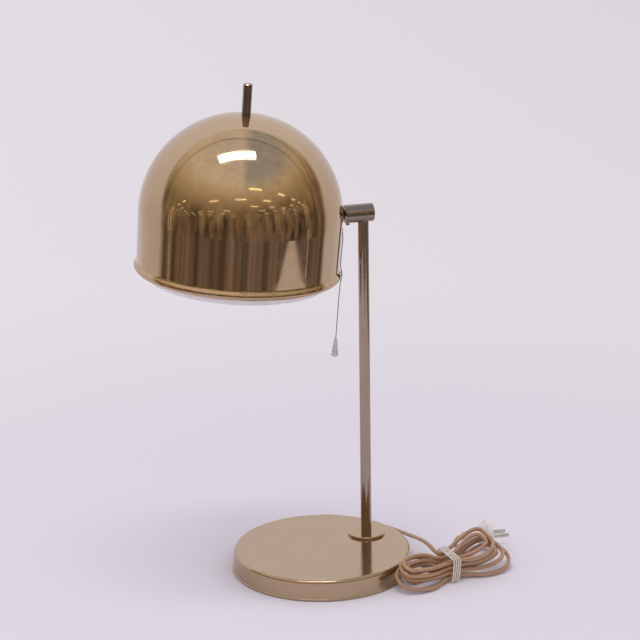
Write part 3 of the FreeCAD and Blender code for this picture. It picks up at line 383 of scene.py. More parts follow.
# Aluminium spun over a former, under champagne lacquer: a warm near-mirror with faint spinning rings.
DOME_GOLD = TurnedMetal("spun_aluminium_champagne_shade", "C0A686", "B09270", 0.05, place=SHADE_PLACE)
# The same on the base, where cloths and hands have dulled it: reflections stay but their edges soften.
BASE_GOLD = TurnedMetal("spun_aluminium_champagne_base", "B9A285", "AB9172", 0.11)
# Turned collar with the same lacquer.
COLLAR_GOLD = TurnedMetal("turned_aluminium_champagne_collar", "B9A285", "A98C68", 0.12, place=STEM_PLACE,
                          wave_depth=0.000004)
# Drawn tube under bronzed nickel: greyer and darker than the shade, with streaks along it.
STEM_BRONZE = TurnedMetal("bronzed_nickel_tube", "AC9A8C", "8E7B6B", 0.1, place=STEM_PLACE, ring_mm=3.0,
                          wave_depth=0.000002)
# Turned bar under bronzed nickel, for the barrel and neck.
ARM_BRONZE = TurnedMetal("bronzed_nickel_bar", "93857C", "7C6D61", 0.12, place=ARM_PLACE,
                         wave_depth=0.000002)
# The handle's rod, plated as the stem is.
HANDLE_BRONZE = TurnedMetal("bronzed_nickel_rod", "9C8C80", "837264", 0.12, place=SHADE_PLACE,
                            wave_depth=0.000002)
# Plain turned brass, left bare inside the lamp: yellow, slightly dulled.
BRASS = TurnedMetal("turned_brass", "C7A15E", "A9823F", 0.2, place=STEM_PLACE, wave_depth=0.000002)
# Pressed steel under clear zinc: cool and cloudy.
ZINC = RoughMetal("zinc_plated_pressed_steel", "B4B4AE", "98999A", 0.3)
# Sand-cast grey iron: dark, with the sand's grain.
IRON = RoughMetal("sand_cast_iron", "4C4A47", "3A3836", 0.55, grain_mm=1.6, grain_depth=0.00012)
# Turned brass pins under nickel: bright, a little scuffed by sockets.
NICKEL = RoughMetal("nickel_plated_turned_pins", "DAD7D1", "C4C0B8", 0.16, grain_mm=1.5, grain_depth=0.000003)
# Pressed aluminium of the bulb's screw cap: soft and pale.
BULB_METAL = RoughMetal("pressed_aluminium_bulb_cap", "C6C6C2", "AFAFAB", 0.24)
# Pressed wool felt under the base: matt and dark, so the foot's shadow line stays quiet.
FELT = Felt("pressed_wool_felt", "35312D", "48433D", 0.95)
# Moulded nylon washers and seats: waxy white.
NYLON = MouldedPlastic("moulded_nylon", "E6E1D4", "DAD3C4", 0.38, scatter=0.3)
# Pressed phenolic resin of the lampholder and switch: nearly black, with a hard gloss.
PHENOLIC = MouldedPlastic("pressed_phenolic_resin", "231E1B", "2E2723", 0.3, coat=0.2)
# Moulded brown gland and the cord's sleeve, matched to the cord.
GLAND = MouldedPlastic("moulded_brown_gland", "7E624C", "6C533F", 0.42)
# Moulded white plug, yellowed a little: dull, with light in its thin rim.
PLUG = MouldedPlastic("moulded_white_plug", "EAE2E2", "DDD3D0", 0.36, scatter=0.25, scatter_mm=1.5)
# Vacuum-formed opal acrylic: milky, so light from behind and below spreads in it.
OPAL = MouldedPlastic("formed_opal_acrylic", "EFE8E8", "E8E0DF", 0.3, scatter=0.7, scatter_mm=4.0, coat=0.25,
                      place=SHADE_PLACE, skin_depth=0.000002)
# Blown glass, acid-frosted: matt white with some light through it.
GLASS = MouldedPlastic("frosted_blown_glass", "F2F0EC", "EDEAE4", 0.45, see_through=0.6, place=SHADE_PLACE)
# Moulded clear styrene bell, clouded with age.
CLEAR = MouldedPlastic("moulded_clear_styrene", "F0ECEB", "E2DCD8", 0.25, see_through=0.45, scatter=0.25,
                       scatter_mm=1.0)
# PVC sheath drawn over two cores: glossy tan, with the cores' two long flats showing through.
SHEATH = Strand("drawn_pvc_sheath", "B68D6A", "A0785A", 0.28, length_mm=2040.0, mark_mm=70.0, ridges=2.0,
                ridge_depth=0.00012, coat=0.35)
# The thinner inner leads: the same PVC, less polished.
CORE = Strand("drawn_pvc_inner_lead", "9C7A60", "866549", 0.4, length_mm=400.0)
# Rubber cord wound with cotton: matt off-white, its winding drawn coarser than the real 0.3 mm to show.
ELASTIC = Strand("cotton_wound_elastic", "F3E9E0", "E2D3C5", 0.75, length_mm=480.0, mark_mm=3.0,
                 twist=160.0, ridge_depth=0.0001)
# Two nylon yarns twisted together: half clear, with a turn about every 2 mm.
THREAD = Strand("twisted_nylon_thread", "A39A90", "7F766C", 0.35, length_mm=132.0, mark_mm=4.0,
                ridges=2.0, twist=60.0, ridge_depth=0.0001, see_through=0.2)


# ---- strands ------------------------------------------------------------------------
def strand(name: str, points: Iterable[Vector], radius: float, ring: int = 5,
           steps: int = 8) -> bpy.types.Object:
    """Make a round strand along one smooth spline.

    Args:
        name: The piece's name.
        points: The spline's control points, in metres.
        radius: The strand's radius, in metres.
        ring: How finely the strand's section is divided.
        steps: How finely each run is divided.

    Returns:
        The curve's object.
    """
    curve = bpy.data.curves.new(name, "CURVE")
    curve.dimensions = "3D"
    curve.resolution_u = curve.render_resolution_u = steps
    curve.bevel_depth = radius
    curve.bevel_resolution = ring
    curve.use_fill_caps = True
    spline = curve.splines.new("NURBS")
    points = list(points)
    spline.points.add(len(points) - 1)
    for slot, spot in zip(spline.points, points):
        slot.co = (*spot, 1.0)
    spline.order_u = 3
    spline.use_endpoint_u = True
    made = bpy.data.objects.new(name, curve)
    bpy.context.scene.collection.objects.link(made)
    return made


def centreline(piece: bpy.types.Object) -> list[Vector]:
    """The points along a strand's spline, as Blender draws it without its bevel."""
    bare = piece.copy()
    bare.data = piece.data.copy()
    bare.data.bevel_depth = 0.0
    bpy.context.scene.collection.objects.link(bare)
    bpy.context.view_layer.update()
    mesh = bpy.data.meshes.new_from_object(bare.evaluated_get(bpy.context.evaluated_depsgraph_get()))
    points = [vertex.co.copy() for vertex in mesh.vertices]
    bpy.data.objects.remove(bare)
    bpy.data.meshes.remove(mesh)
    return points


def as_mesh(piece: bpy.types.Object) -> bpy.types.Object:
    """Turn a strand into a mesh piece of the same name."""
    bpy.context.view_layer.update()
    mesh = bpy.data.meshes.new_from_object(piece.evaluated_get(bpy.context.evaluated_depsgraph_get()))
    name = piece.name
    bpy.data.objects.remove(piece)
    made = bpy.data.objects.new(name, mesh)
    bpy.context.scene.collection.objects.link(made)
    return made


def length_of(points: Sequence[Vector]) -> float:
    """The length of a line through points."""
    return sum((b - a).length for a, b in zip(points, points[1:]))


def lay_lead(name: str, points: Iterable[Vector], body: Body, node: str) -> None:
    """Lay an inner lead in place of a CAD solid.

    Args:
        name: The lead's name.
        points: Its spline's control points, in metres.
        body: The body that it rides on.
        node: The CAD node that it stands for.
    """
    lead = strand(name, points, LEAD_RADIUS)
    lead.data.materials.append(CORE.material())
    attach(lead, body.value)
    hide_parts(node)
    log.info("%s: %.3f m", name, length_of(centreline(lead)))


# ---- sub-assemblies -----------------------------------------------------------------
@dataclass
class SubAssembly:
    """Nodes of the CAD model that belong together, and the finish that each one gets."""

    def finishes(self) -> dict[Finish, tuple[str, ...]]:
        """The nodes that each finish dresses."""
        raise NotImplementedError

    def dress(self) -> None:
        """Give every node its finish."""
        for finish, names in self.finishes().items():
            material = finish.material()
            for name in names:
                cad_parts[name].material_slots[0].material = material
                log.info("%s: %s", name, finish.name)

    def build(self) -> None:
        """Dress the nodes, and add the sub-assembly's own new pieces."""
        self.dress()


@dataclass
class Base(SubAssembly):
    """Round base: cover, weight, closing plate, pad and screws, and the gland in its back wall."""

    gland_angle: float = 80.0
    gland_reach: float = 91.307
    stem: Point = (58.3, 22.8, 4.8)
    stem_rise: tuple[float, ...] = (84.0, 145.0, 206.0, 267.0, 328.0)
    wander: float = 0.45
    gland_steps: tuple[Point, ...] = ((0.0, 0.0, 10.0), (-7.0, 0.0, 8.0), (-19.0, 2.0, 5.2))
    foot_steps: tuple[Point, ...] = ((-28.3, 27.2, 0.0), (-12.3, 12.2, 0.0), (-5.0, 5.0, 0.0),
                                     (0.0, 0.0, 0.0), (0.0, 0.0, 9.0), (0.3, 0.0, 22.0))
    top_steps: tuple[Point, ...] = ((0.0, 0.0, 381.2), (0.15, 0.0, 394.6))

    def finishes(self) -> dict[Finish, tuple[str, ...]]:
        """The nodes that each finish dresses."""
        return {BASE_GOLD: ("base_cover",), IRON: ("base_weight",), FELT: ("base_pad",),
                ZINC: ("base_plate", "base_screws"), GLAND: ("cord_gland", "gland_nut")}

    def lead_route(self) -> list[Vector]:
        """The inner lead's points, from the gland along the plate and up the stem."""
        turn = math.radians(self.gland_angle)
        outward, foot = Vector((math.cos(turn), math.sin(turn), 0.0)), Vector(self.stem)
        points = [outward * (self.gland_reach + out) + Vector((aside, 0, height))
                  for out, aside, height in self.gland_steps]
        points += [foot + Vector(step) for step in self.foot_steps]
        for i, rise in enumerate(self.stem_rise):
            points.append(Vector((foot.x + self.wander * (-1) ** (i + 1), foot.y, rise)))
        points += [Vector((foot.x + aside, foot.y, height)) for aside, _, height in self.top_steps]
        return [spot * MM for spot in points]

    def build(self) -> None:
        """Dress the base and lay its inner lead."""
        self.dress()
        lay_lead("stem_lead", self.lead_route(), Body.BASE, "inner_cable")


@dataclass
class Stem(SubAssembly):
    """Stem tube with its collar and foot fixings, and the swivel in its top."""

    def finishes(self) -> dict[Finish, tuple[str, ...]]:
        """The nodes that each finish dresses."""
        return {STEM_BRONZE: ("stem_tube",), COLLAR_GOLD: ("stem_collar",),
                BRASS: ("foot_nipple", "foot_nut", "swivel_pin"), ZINC: ("foot_washer", "swivel_clip"),
                NYLON: ("swivel_washer", "saddle_washer")}


@dataclass
class Barrel(SubAssembly):
    """Cross barrel on the stem's top, with the ball joint inside it."""

    def finishes(self) -> dict[Finish, tuple[str, ...]]:
        """The nodes that each finish dresses."""
        return {ARM_BRONZE: ("joint_barrel", "barrel_cap", "ball_neck"), BRASS: ("neck_nut",),
                NYLON: ("ball_seat", "retaining_ring"), ZINC: ("ball_spring", "set_screw", "neck_washer")}


@dataclass
class Shade(SubAssembly):
    """Spun dome with its handle, lampholder, bulb and diffuser."""

    lead_points: tuple[Point, ...] = (
        (100.8, 0.0, 0.0), (94.8, 0.0, 1.0), (86.8, 0.0, 10.0), (78.8, 0.0, 26.0), (62.8, 0.0, 48.0),
        (42.8, 0.0, 66.0), (29.0, 0.0, 91.19), (16.6, 0.0, 91.19))

    def finishes(self) -> dict[Finish, tuple[str, ...]]:
        """The nodes that each finish dresses."""
        return {DOME_GOLD: ("shade_dome",), HANDLE_BRONZE: ("handle_rod",), GLASS: ("bulb_glass",),
                ZINC: ("shade_stud", "stud_washer", "diffuser_clips"), OPAL: ("diffuser",),
                BRASS: ("stud_nut", "holder_shell", "holder_contact"), BULB_METAL: ("bulb_cap",),
                PHENOLIC: ("holder_cap", "holder_sleeve", "holder_insert")}

    def build(self) -> None:
        """Dress the shade and lay the lead round its inside."""
        self.dress()
        points = [SHADE_PLACE.matrix() @ (Vector(spot) * MM) for spot in self.lead_points]
        lay_lead("shade_lead", points, Body.SHADE, "shade_cable")


@dataclass
class PullSwitch(SubAssembly):
    """Pull switch: its box and eyelet, the thread over the rim and the bell on its end."""

    turn: float = -15.0
    thread_radius: float = 0.5
    thread_points: tuple[Point, ...] = (
        (107.4, 0.0, -9.4), (111.8, 0.0, -9.4), (110.0, 0.0, -50.8), (112.7, 0.0, -57.25),
        (112.5, 0.0, -62.9), (111.0, 0.0, -72.5), (110.7, 0.0, -137.0))
    thread_length: float = 0.1316

    def finishes(self) -> dict[Finish, tuple[str, ...]]:
        """The nodes that each finish dresses."""
        return {PHENOLIC: ("switch_box",), BRASS: ("cord_eyelet",), CLEAR: ("cord_pull",)}

    def build(self) -> None:
        """Dress the switch and hang its thread over the rim."""
        self.dress()
        side = SHADE_PLACE.matrix() @ Matrix.Rotation(math.radians(self.turn), 4, "Z")
        points = [side @ (Vector(spot) * MM) for spot in self.thread_points]
        thread = strand("pull_thread", points, self.thread_radius * MM, ring=3, steps=12)
        line = centreline(thread)
        thread = as_mesh(thread)
        thread.data.materials.clear()
        thread.data.materials.append(THREAD.material())
        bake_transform(thread)
        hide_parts("pull_cord")
        log.info("pull_thread: %.4f m", length_of(line))


@dataclass
class Hank:
    """The coiled cord's loops, as the CAD source makes them: sizes in millimetres."""

    place: Point = (122.0, -77.0, 0.0)
    turn: float = 17.0
    loops: int = 6
    layers: int = 4
    cord_radius: float = 2.25
    lift: float = 0.05
    tie_radius: float = 0.8
    waist_lift: float = 0.4
    lobe_slope: float = 0.42
    waist_slope: float = 0.2
    waist_offset: float = 1.2
    waist_step: float = 6.4
    waist_pitch: float = 5.7
    lobe_left: float = 51.0
    lobe_right: float = 68.0
    lobe_step: float = 7.2
    left_width: float = 5.0
    right_width: float = 6.0
    near_extra: float = 5.0
    left_pitch: float = 5.8
    right_pitch: float = 7.4
    top_draw: float = 7.0
    loose_reach: float = 5.0
    loose_width: float = 5.0
    uneven_reach: float = 0.6
    uneven_turns: float = 2.1
    layer_change: float = 0.25
    right_far: float = 0.80
    right_near: float = 0.68
    left_widest: float = 0.60

    @property
    def per_layer(self) -> float:
        """How many loops lie in one layer."""
        return self.loops / self.layers

    def ramp(self, turns: float, at: float) -> float:
        """0 before a change of layer, 1 after it, and a smooth climb along the run between."""
        part = min(max((turns - at) / self.layer_change + 0.5, 0.0), 1.0)
        return part * part * (3 - 2 * part)

    def point(self, turns: float) -> Vector:
        """Centre of the cord after this many loops, in the hank's own frame."""
        eighth = round(turns * 8) % 8
        spiral = abs((turns % (2 * self.per_layer)) - self.per_layer)
        layer = self.layers - 1 - sum(self.ramp(turns, self.per_layer * k) for k in range(1, self.layers))
        loose = max(int(turns) - self.loops + 2, 0)
        low = self.cord_radius + self.lift
        if eighth in (0, 4):
            across = self.waist_offset + self.waist_step * spiral
            widest = self.waist_offset + self.waist_step * self.per_layer
            across = across if eighth == 0 else -across
            low += 2 * self.tie_radius + self.waist_lift
            return Vector((0, across, low + self.waist_slope * (across + widest) + self.waist_pitch * layer))
        reach = (self.lobe_step * spiral + self.loose_reach * loose
                 + self.uneven_reach * math.sin(self.uneven_turns * turns))
        width = self.lobe_step * spiral + self.loose_width * loose
        widest = self.lobe_step * self.per_layer + self.loose_width
        if eighth in (1, 2, 3):
            reach += self.lobe_right - self.top_draw * layer
            width += self.right_width
            near = width + self.near_extra
            widest += self.right_width + self.near_extra
            pitch = self.right_pitch
        else:
            reach += self.lobe_left
            width += self.left_width
            near = width
            widest += self.left_width
            pitch = self.left_pitch
        along, across = {1: (self.right_far, width), 2: (1.0, 0.0), 3: (self.right_near, -near),
                         5: (-self.left_widest, -near), 6: (-1.0, 0.0), 7: (-self.left_widest, width)}[eighth]
        return Vector((along * reach, across, low + self.lobe_slope * (across + widest) + pitch * layer))

    def heading(self, turns: float) -> Vector:
        """Level heading of the cord at an eighth of a loop, tipped along its climb."""
        eighth = round(turns * 8) % 8
        flat = {2: (0, -1), 3: (-1, 0), 4: (-1, 0), 5: (-1, 0), 6: (0, 1)}.get(eighth, (1, 0))
        before = self.point(max(turns - 1 / 8, 0))
        after = self.point(turns + 1 / 8)
        level = math.hypot(after.x - before.x, after.y - before.y)
        return Vector((*flat, (after.z - before.z) / level)).normalized()

    def in_frame(self, spot: Sequence[float]) -> Vector:
        """A point of the hank's own frame, placed on the table."""
        return Vector(self.place) + Matrix.Rotation(math.radians(self.turn), 3, "Z") @ Vector(spot)

    def corners(self) -> list[Vector]:
        """Two control points for each eighth of a loop, where the cord's headings meet."""
        found: list[Vector] = []
        for i in range(self.loops * 8 + 1):
            start, heading = self.point(i / 8), self.heading(i / 8)
            end, arrival = self.point((i + 1) / 8), self.heading((i + 1) / 8)
            chord = end - start
            spread_of = 2 * (1 - heading.dot(arrival))
            if spread_of < STRAIGHT:
                reach = chord.dot(chord) / (4 * chord.dot(arrival))
            else:
                along = chord.dot(heading + arrival)
                reach = (-along + math.sqrt(along ** 2 + spread_of * chord.dot(chord))) / spread_of
            found += [self.in_frame(start + heading * reach), self.in_frame(end - arrival * reach)]
        return found[1:-1]


@dataclass
class MainsCord(SubAssembly):
    """The mains cord: its sleeve at the base, its hank and band, and the plug on its end."""

    diameter: float = 4.5
    mouth: Point = (18.16, 103.01, 10.0)
    base_radius: float = 100.0
    round_base: tuple[Point, ...] = (
        (79.9, 15.3, 9.7), (76.85, 25.7, 8.2), (71.65, 33.4, 5.8), (63.6, 35.1, 4.2), (54.2, 32.5, 3.6),
        (43.55, 26.3, 4.6), (31.25, 17.6, 8.2), (17.65, 8.9, 14.6), (3.3, 4.5, 21.6), (-10.0, 7.0, 27.8),
        (-20.2, 14.2, 31.6))
    by_hank: tuple[Point, ...] = (
        (-6.2, 25.4, 31.8), (-7.9, 15.7, 30.2), (-5.0, 10.3, 26.8), (2.0, 10.3, 25.6))
    behind: tuple[Point, ...] = (
        (47.5, 29.2, 19.6), (45.2, 36.8, 15.6), (43.8, 45.7, 12.2), (46.9, 54.2, 12.0))
    plug_end: tuple[Point, ...] = ((157.93, -4.94, 17.5), (166.41, -5.98, 17.5))
    length: float = 2.042
    sleeve_length: float = 24.0
    sleeve_radius: float = 3.6
    sleeve_tip: float = 2.55
    sleeve_ribs: int = 6
    sleeve_rib_rise: float = 0.35
    sleeve_sides: int = 28
    sleeve_clearance: float = 0.04
    band_turns: int = 4
    band_radius: float = 0.8
    band_pitch: float = 2.8
    band_slant: float = 0.12
    band_corner: float = 3.6
    band_pull_in: float = 0.42
    band_clearance: float = 0.9
    band_top_room: float = 1.4
    band_lift: float = 0.35
    band_shift: float = 1.0
    hank: Hank = field(default_factory=Hank)

    def finishes(self) -> dict[Finish, tuple[str, ...]]:
        """The nodes that each finish dresses."""
        return {PLUG: ("plug_back", "plug_face"), NICKEL: ("plug_pins",), ZINC: ("plug_screw",)}

    def route(self) -> list[Vector]:
        """The cord's control points, in metres, from the gland to the plug."""
        points = [Vector(self.mouth)]
        for turn, out, height in self.round_base:
            angle, reach = math.radians(turn), self.base_radius + out
            points.append(Vector((reach * math.cos(angle), reach * math.sin(angle), height)))
        points += [self.hank.in_frame(spot) for spot in self.by_hank]
        points += self.hank.corners()
        points += [self.hank.in_frame(spot) for spot in self.behind]
        points += [Vector(spot) for spot in self.plug_end]
        return [spot * MM for spot in points]

    def sleeve(self, line: Sequence[Vector]) -> bpy.types.Object:
        """Make the ribbed sleeve that tapers along the cord's first stretch.

        Args:
            line: Points along the cord, from the gland.

        Returns:
            The sleeve's mesh object.
        """
        run, stations = 0.0, [(line[0], 0.0)]
        for before, after in zip(line, line[1:]):
            run += (after - before).length / MM
            if run > self.sleeve_length:
                break
            stations.append((after, run))
        last = stations[-1][1]
        inner, outer = [], []
        for i, (spot, at) in enumerate(stations):
            ahead = stations[min(i + 1, len(stations) - 1)][0] - stations[max(i - 1, 0)][0]
            turned = ahead.to_track_quat("Z", "Y").to_matrix()
            share = at / last
            wave = max(0.0, math.sin(math.tau * self.sleeve_ribs * share))
            ribbed = self.sleeve_rib_rise * wave * (1 - share)
            radius = self.sleeve_radius + (self.sleeve_tip - self.sleeve_radius) * share + ribbed
            for kept, size in ((outer, radius), (inner, self.diameter / 2 + self.sleeve_clearance)):
                kept.append([spot + turned @ (Vector((math.cos(a), math.sin(a), 0)) * size * MM)
                             for a in (math.tau * k / self.sleeve_sides for k in range(self.sleeve_sides))])
        rings = outer + inner[::-1]
        mesh = bpy.data.meshes.new("cord_sleeve")
        spots = [spot for ring in rings for spot in ring]
        count, sides = len(rings), self.sleeve_sides
        faces = [(i * sides + k, i * sides + (k + 1) % sides, (i + 1) % count * sides + (k + 1) % sides,
                  (i + 1) % count * sides + k) for i in range(count) for k in range(sides)]
        mesh.from_pydata(spots, [], faces)
        mesh.polygons.foreach_set("use_smooth", [True] * len(faces))
        mesh.materials.append(GLAND.material())
        made = bpy.data.objects.new("cord_sleeve", mesh)
        bpy.context.scene.collection.objects.link(made)
        bpy.ops.object.select_all(action="DESELECT")
        made.select_set(True)
        bpy.context.view_layer.objects.active = made
        bpy.ops.object.mode_set(mode="EDIT")
        bpy.ops.mesh.select_all(action="SELECT")
        bpy.ops.mesh.normals_make_consistent(inside=False)
        bpy.ops.object.mode_set(mode="OBJECT")
        made.select_set(False)
        return made

    def band_corners(self) -> list[Vector]:
        """The wound band's control points, two at each corner of the bundle that it holds."""
        hank = self.hank
        low = self.band_radius + self.band_lift
        widest = hank.waist_offset + hank.waist_step * hank.per_layer
        half = widest + hank.cord_radius + self.band_radius + self.band_clearance
        height = (2 * hank.cord_radius + hank.waist_pitch * (hank.layers - 1) + 2 * self.band_radius
                  + 2 * self.band_clearance + self.band_top_room)
        around = (((half, 0.0), ((-1, 0), (0, 1))), ((half, height), ((0, -1), (-1, 0))),
                  ((-half, height), ((1, 0), (0, -1))), ((-half, 0.0), ((0, 1), (1, 0))))
        found = []
        inward = self.band_corner * self.band_pull_in
        for i in range(self.band_turns * 4):
            (across, up), pulls = around[i % 4]
            along = (self.band_shift + self.band_pitch * (i / 4 - self.band_turns / 2)
                     + self.band_slant * (up - height / 2))
            for side, rise in pulls:
                beside = across + side * inward
                found.append(hank.in_frame((along, beside, low + up + rise * inward
                                            + hank.waist_slope * (beside + widest))))
        return [spot * MM for spot in found]

    def build(self) -> None:
        """Lay the cord, slip its sleeve on, wind its band and dress its plug."""
        self.dress()
        cord = strand("mains_cord", self.route(), self.diameter / 2 * MM, ring=6, steps=10)
        cord.data.materials.append(SHEATH.material())
        line = centreline(cord)
        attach(cord, Body.BASE.value)
        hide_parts("cord_lead", "cord_hank", "cord_tail")
        band = strand("cord_band", self.band_corners(), self.band_radius * MM, ring=4)
        band.data.materials.append(ELASTIC.material())
        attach(band, Body.BASE.value)
        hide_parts("cord_tie")
        sleeve = self.sleeve(line)
        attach(sleeve, Body.BASE.value)
        log.info("mains_cord: %.3f m, cord_band: %.3f m, cord_sleeve: %.0f mm", length_of(line),
                 length_of(centreline(band)), self.sleeve_length)


# ---- studio -------------------------------------------------------------------------
@dataclass(frozen=True)
class Softbox:
    """An area lamp: its place and aim in metres, its turn in degrees, its size and its power."""

    name: str
    place: Point
    aim: Point
    turn: float
    width: float
    depth: float
    watts: float
    mirrored: bool


@dataclass
class Studio:
    """Camera, floor, lamps and surroundings. Heights and sides of the mirrored room are shares of 1."""

    distance: float = 3.0
    elevation: float = 17.94
    turn: float = -15.6
    roll: float = -0.85
    focal_px: float = 2769.39
    picture_px: float = 640.0
    sensor_mm: float = 36.0
    clip: Span = (0.05, 200.0)
    target: Point = (0.00146, -0.00041, 0.28816)
    paper: str = "E6E0E8"
    paper_mottle: str = "E4DEE5"
    mottle_scale: float = 2.2
    # painted shade: the far backdrop's glow is lighter at the left and darker at the right
    backdrop_left: str = "E8E3EA"
    backdrop_right: str = "DCD5DC"
    backdrop_width: Span = (-1.2, 1.6)
    paper_fade: Span = (0.28, 1.1)
    floor_reach: float = 40.0
    table_front: float = -0.95
    table_left: float = -0.9
    table_right: float = 0.8
    ambient: float = 0.8
    ambient_colour: str = "FBF9FF"
    seen_colour: str = "E3DCE4"
    softboxes: tuple[Softbox, ...] = (
        Softbox("softbox", (-0.17, -0.14, 1.75), (-0.12, 0.02, 0.45), 8.0, 0.8, 0.24, 5.0, True),
        Softbox("fill", (-2.2, -1.6, 2.2), (0.0, 0.0, 0.15), 0.0, 2.0, 2.0, 5.0, False))
    # where the room gives way to the pale backdrop, and how its edge leans
    room_edge: Span = (-0.3, -0.16)
    room_lift: float = 0.43
    room_lean: float = 0.12
    mirrored_height: Span = (-0.1, 0.8)
    mirrored_low: Colour = (0.74, 0.70, 0.74, 1.0)
    mirrored_high: Colour = (0.98, 0.97, 1.05, 1.0)
    room_height: Span = (-0.5, 1.0)
    room_stops: tuple[tuple[float, str], ...] = (
        (0.0, "524845"), (0.127, "72655F"), (0.333, "7A6A5B"), (0.54, "97866E"), (0.70, "CDBD9F"),
        (0.85, "F3EBDF"), (1.0, "E6E4E8"))
    # dark uprights low in the room
    upright_scale: Point = (9.0, 9.0, 1.3)
    upright_roughness: float = 0.62
    upright_bend: float = 0.3
    upright_fade: Span = (0.42, 0.12)
    upright_share: Span = (0.12, 1.0)
    upright_band: Span = (0.34, 0.66)
    upright_tone: Span = (0.22, 1.95)
    # a cooler ceiling at the right
    lowest_up: float = 0.05
    cool_side: Span = (0.06, 0.2)
    cool_height: Span = (0.6, 0.8)
    cool_tint: Point = (0.60, 0.66, 0.78)
    # beams behind, and rows of lamps in front
    beam_rate: float = 2.9
    beam_start: float = 0.1
    beam_width: float = 0.14
    beam_limit: float = -0.12
    beam_tone: float = 0.62
    lamp_colour: str = "FFF1D2"
    lamp_strength: float = 3.0
    row_rate: float = 1.75
    row_start: float = 0.3
    row_width: float = 0.11
    column_rate: float = 0.95
    column_shift: float = 0.37
    column_width: float = 0.36
    dark_share: float = 0.3
    lamps_from: Span = (0.9, 0.95)
    lamps_to: Span = (4.2, 3.2)

    def camera(self) -> None:
        """Set the camera where the photograph was taken from."""
        turn, rise, roll = (math.radians(a) for a in (self.turn, self.elevation, self.roll))
        back = Vector((math.sin(turn) * math.cos(rise), -math.cos(turn) * math.cos(rise), math.sin(rise)))
        level = (-back).cross(Vector((0, 0, 1))).normalized()
        top = level.cross(-back)
        right = level * math.cos(roll) + top * math.sin(roll)
        up = top * math.cos(roll) - level * math.sin(roll)
        place = Vector(self.target) + back * self.distance
        data = bpy.data.cameras.new("photo_camera")
        data.sensor_width = self.sensor_mm
        data.lens = self.focal_px * self.sensor_mm / self.picture_px
        data.clip_start, data.clip_end = self.clip
        seen = bpy.data.objects.new("photo_camera", data)
        bpy.context.scene.collection.objects.link(seen)
        seen.matrix_world = Matrix((
            (right.x, up.x, back.x, place.x), (right.y, up.y, back.y, place.y),
            (right.z, up.z, back.z, place.z), (0, 0, 0, 1)))
        bpy.context.scene.camera = seen

    def paper_material(self) -> bpy.types.Material:
        """Matt paper near the lamp, which runs out into a pale glowing backdrop, with painted shade that
        darkens it towards the right.
        """
        material, tree, shader = new_material("matt_paper_floor",
                                              {"Roughness": 0.9, "Specular IOR Level": 0.0})
        where = add_node(tree, "TexCoord").outputs["Object"]
        mottle = add_node(tree, "TexNoise", {"Vector": where, "Scale": self.mottle_scale, "Detail": 2.0})
        inputs = {"Factor": mottle, 6: linear(self.paper), 7: linear(self.paper_mottle)}
        tone = add_node(tree, "Mix", inputs, data_type="RGBA")
        tree.links.new(tone.outputs[2], shader.inputs["Base Color"])
        split = add_node(tree, "SeparateXYZ", {"Vector": where})
        # painted shade: the backdrop's glow darkens from left to right, as light from the left would fall
        rightward = add_node(tree, "MapRange", {"Value": split.outputs["X"], **stretch(self.backdrop_width)})
        inputs = {"Factor": rightward, 6: linear(self.backdrop_left), 7: linear(self.backdrop_right)}
        pale = add_node(tree, "Mix", inputs, data_type="RGBA")
        glow = add_node(tree, "Emission", {"Color": pale.outputs[2]})
        path = add_node(tree, "LightPath")
        inputs = {0: path.outputs["Is Glossy Ray"], 1: path.outputs["Is Transmission Ray"]}
        mirrored = add_node(tree, "Math", inputs, operation="MAXIMUM")
        seen = add_node(tree, "Math", {0: path.outputs["Is Camera Ray"], 1: mirrored}, operation="MAXIMUM")
        away = add_node(tree, "VectorMath", {0: where}, operation="LENGTH").outputs["Value"]
        far = add_node(tree, "MapRange", {"Value": away, **stretch(self.paper_fade)},
                       interpolation_type="SMOOTHSTEP")
        share = add_node(tree, "Math", {0: seen, 1: far}, operation="MULTIPLY")
        both = add_node(tree, "MixShader", {0: share, 1: shader, 2: glow})
        output = next(n for n in tree.nodes if n.bl_idname == "ShaderNodeOutputMaterial")
        tree.links.new(both.outputs[0], output.inputs["Surface"])
        return material

    def floors(self) -> None:
        """Lay the tabletop, which mirrors see, and the floor round it, which they don't."""
        material = self.paper_material()
        far, left, right, front = self.floor_reach, self.table_left, self.table_right, self.table_front
        tiles = {"table": (left, right, front, far), "floor_front": (-far, far, -far, front),
                 "floor_left": (-far, left, front, far), "floor_right": (right, far, front, far)}
        bpy.ops.object.select_all(action="DESELECT")
        for name, (west, east, near, away) in tiles.items():
            middle = ((west + east) / 2, (near + away) / 2, 0.0)
            bpy.ops.mesh.primitive_plane_add(size=1.0, location=middle)
            tile = bpy.context.active_object
            tile.name = name
            tile.scale = (east - west, away - near, 1.0)
            bpy.ops.object.transform_apply(location=True, rotation=True, scale=True)
            tile.data.materials.append(material)
            tile.visible_glossy = name == "table"
            tile.select_set(False)

    def lamps(self) -> None:
        """Hang a slim softbox over the lamp and a broad fill at the left."""
        for box in self.softboxes:
            data = bpy.data.lights.new(box.name, "AREA")
            data.shape = "RECTANGLE"
            data.size, data.size_y = box.width, box.depth
            data.energy = box.watts
            lamp = bpy.data.objects.new(box.name, data)
            bpy.context.scene.collection.objects.link(lamp)
            lamp.location = box.place
            aimed = (Vector(box.aim) - Vector(box.place)).to_track_quat("-Z", "Y").to_matrix()
            lamp.rotation_euler = (Matrix.Rotation(math.radians(box.turn), 3, "Z") @ aimed).to_euler()
            lamp.visible_glossy = box.mirrored
            lamp.visible_camera = False

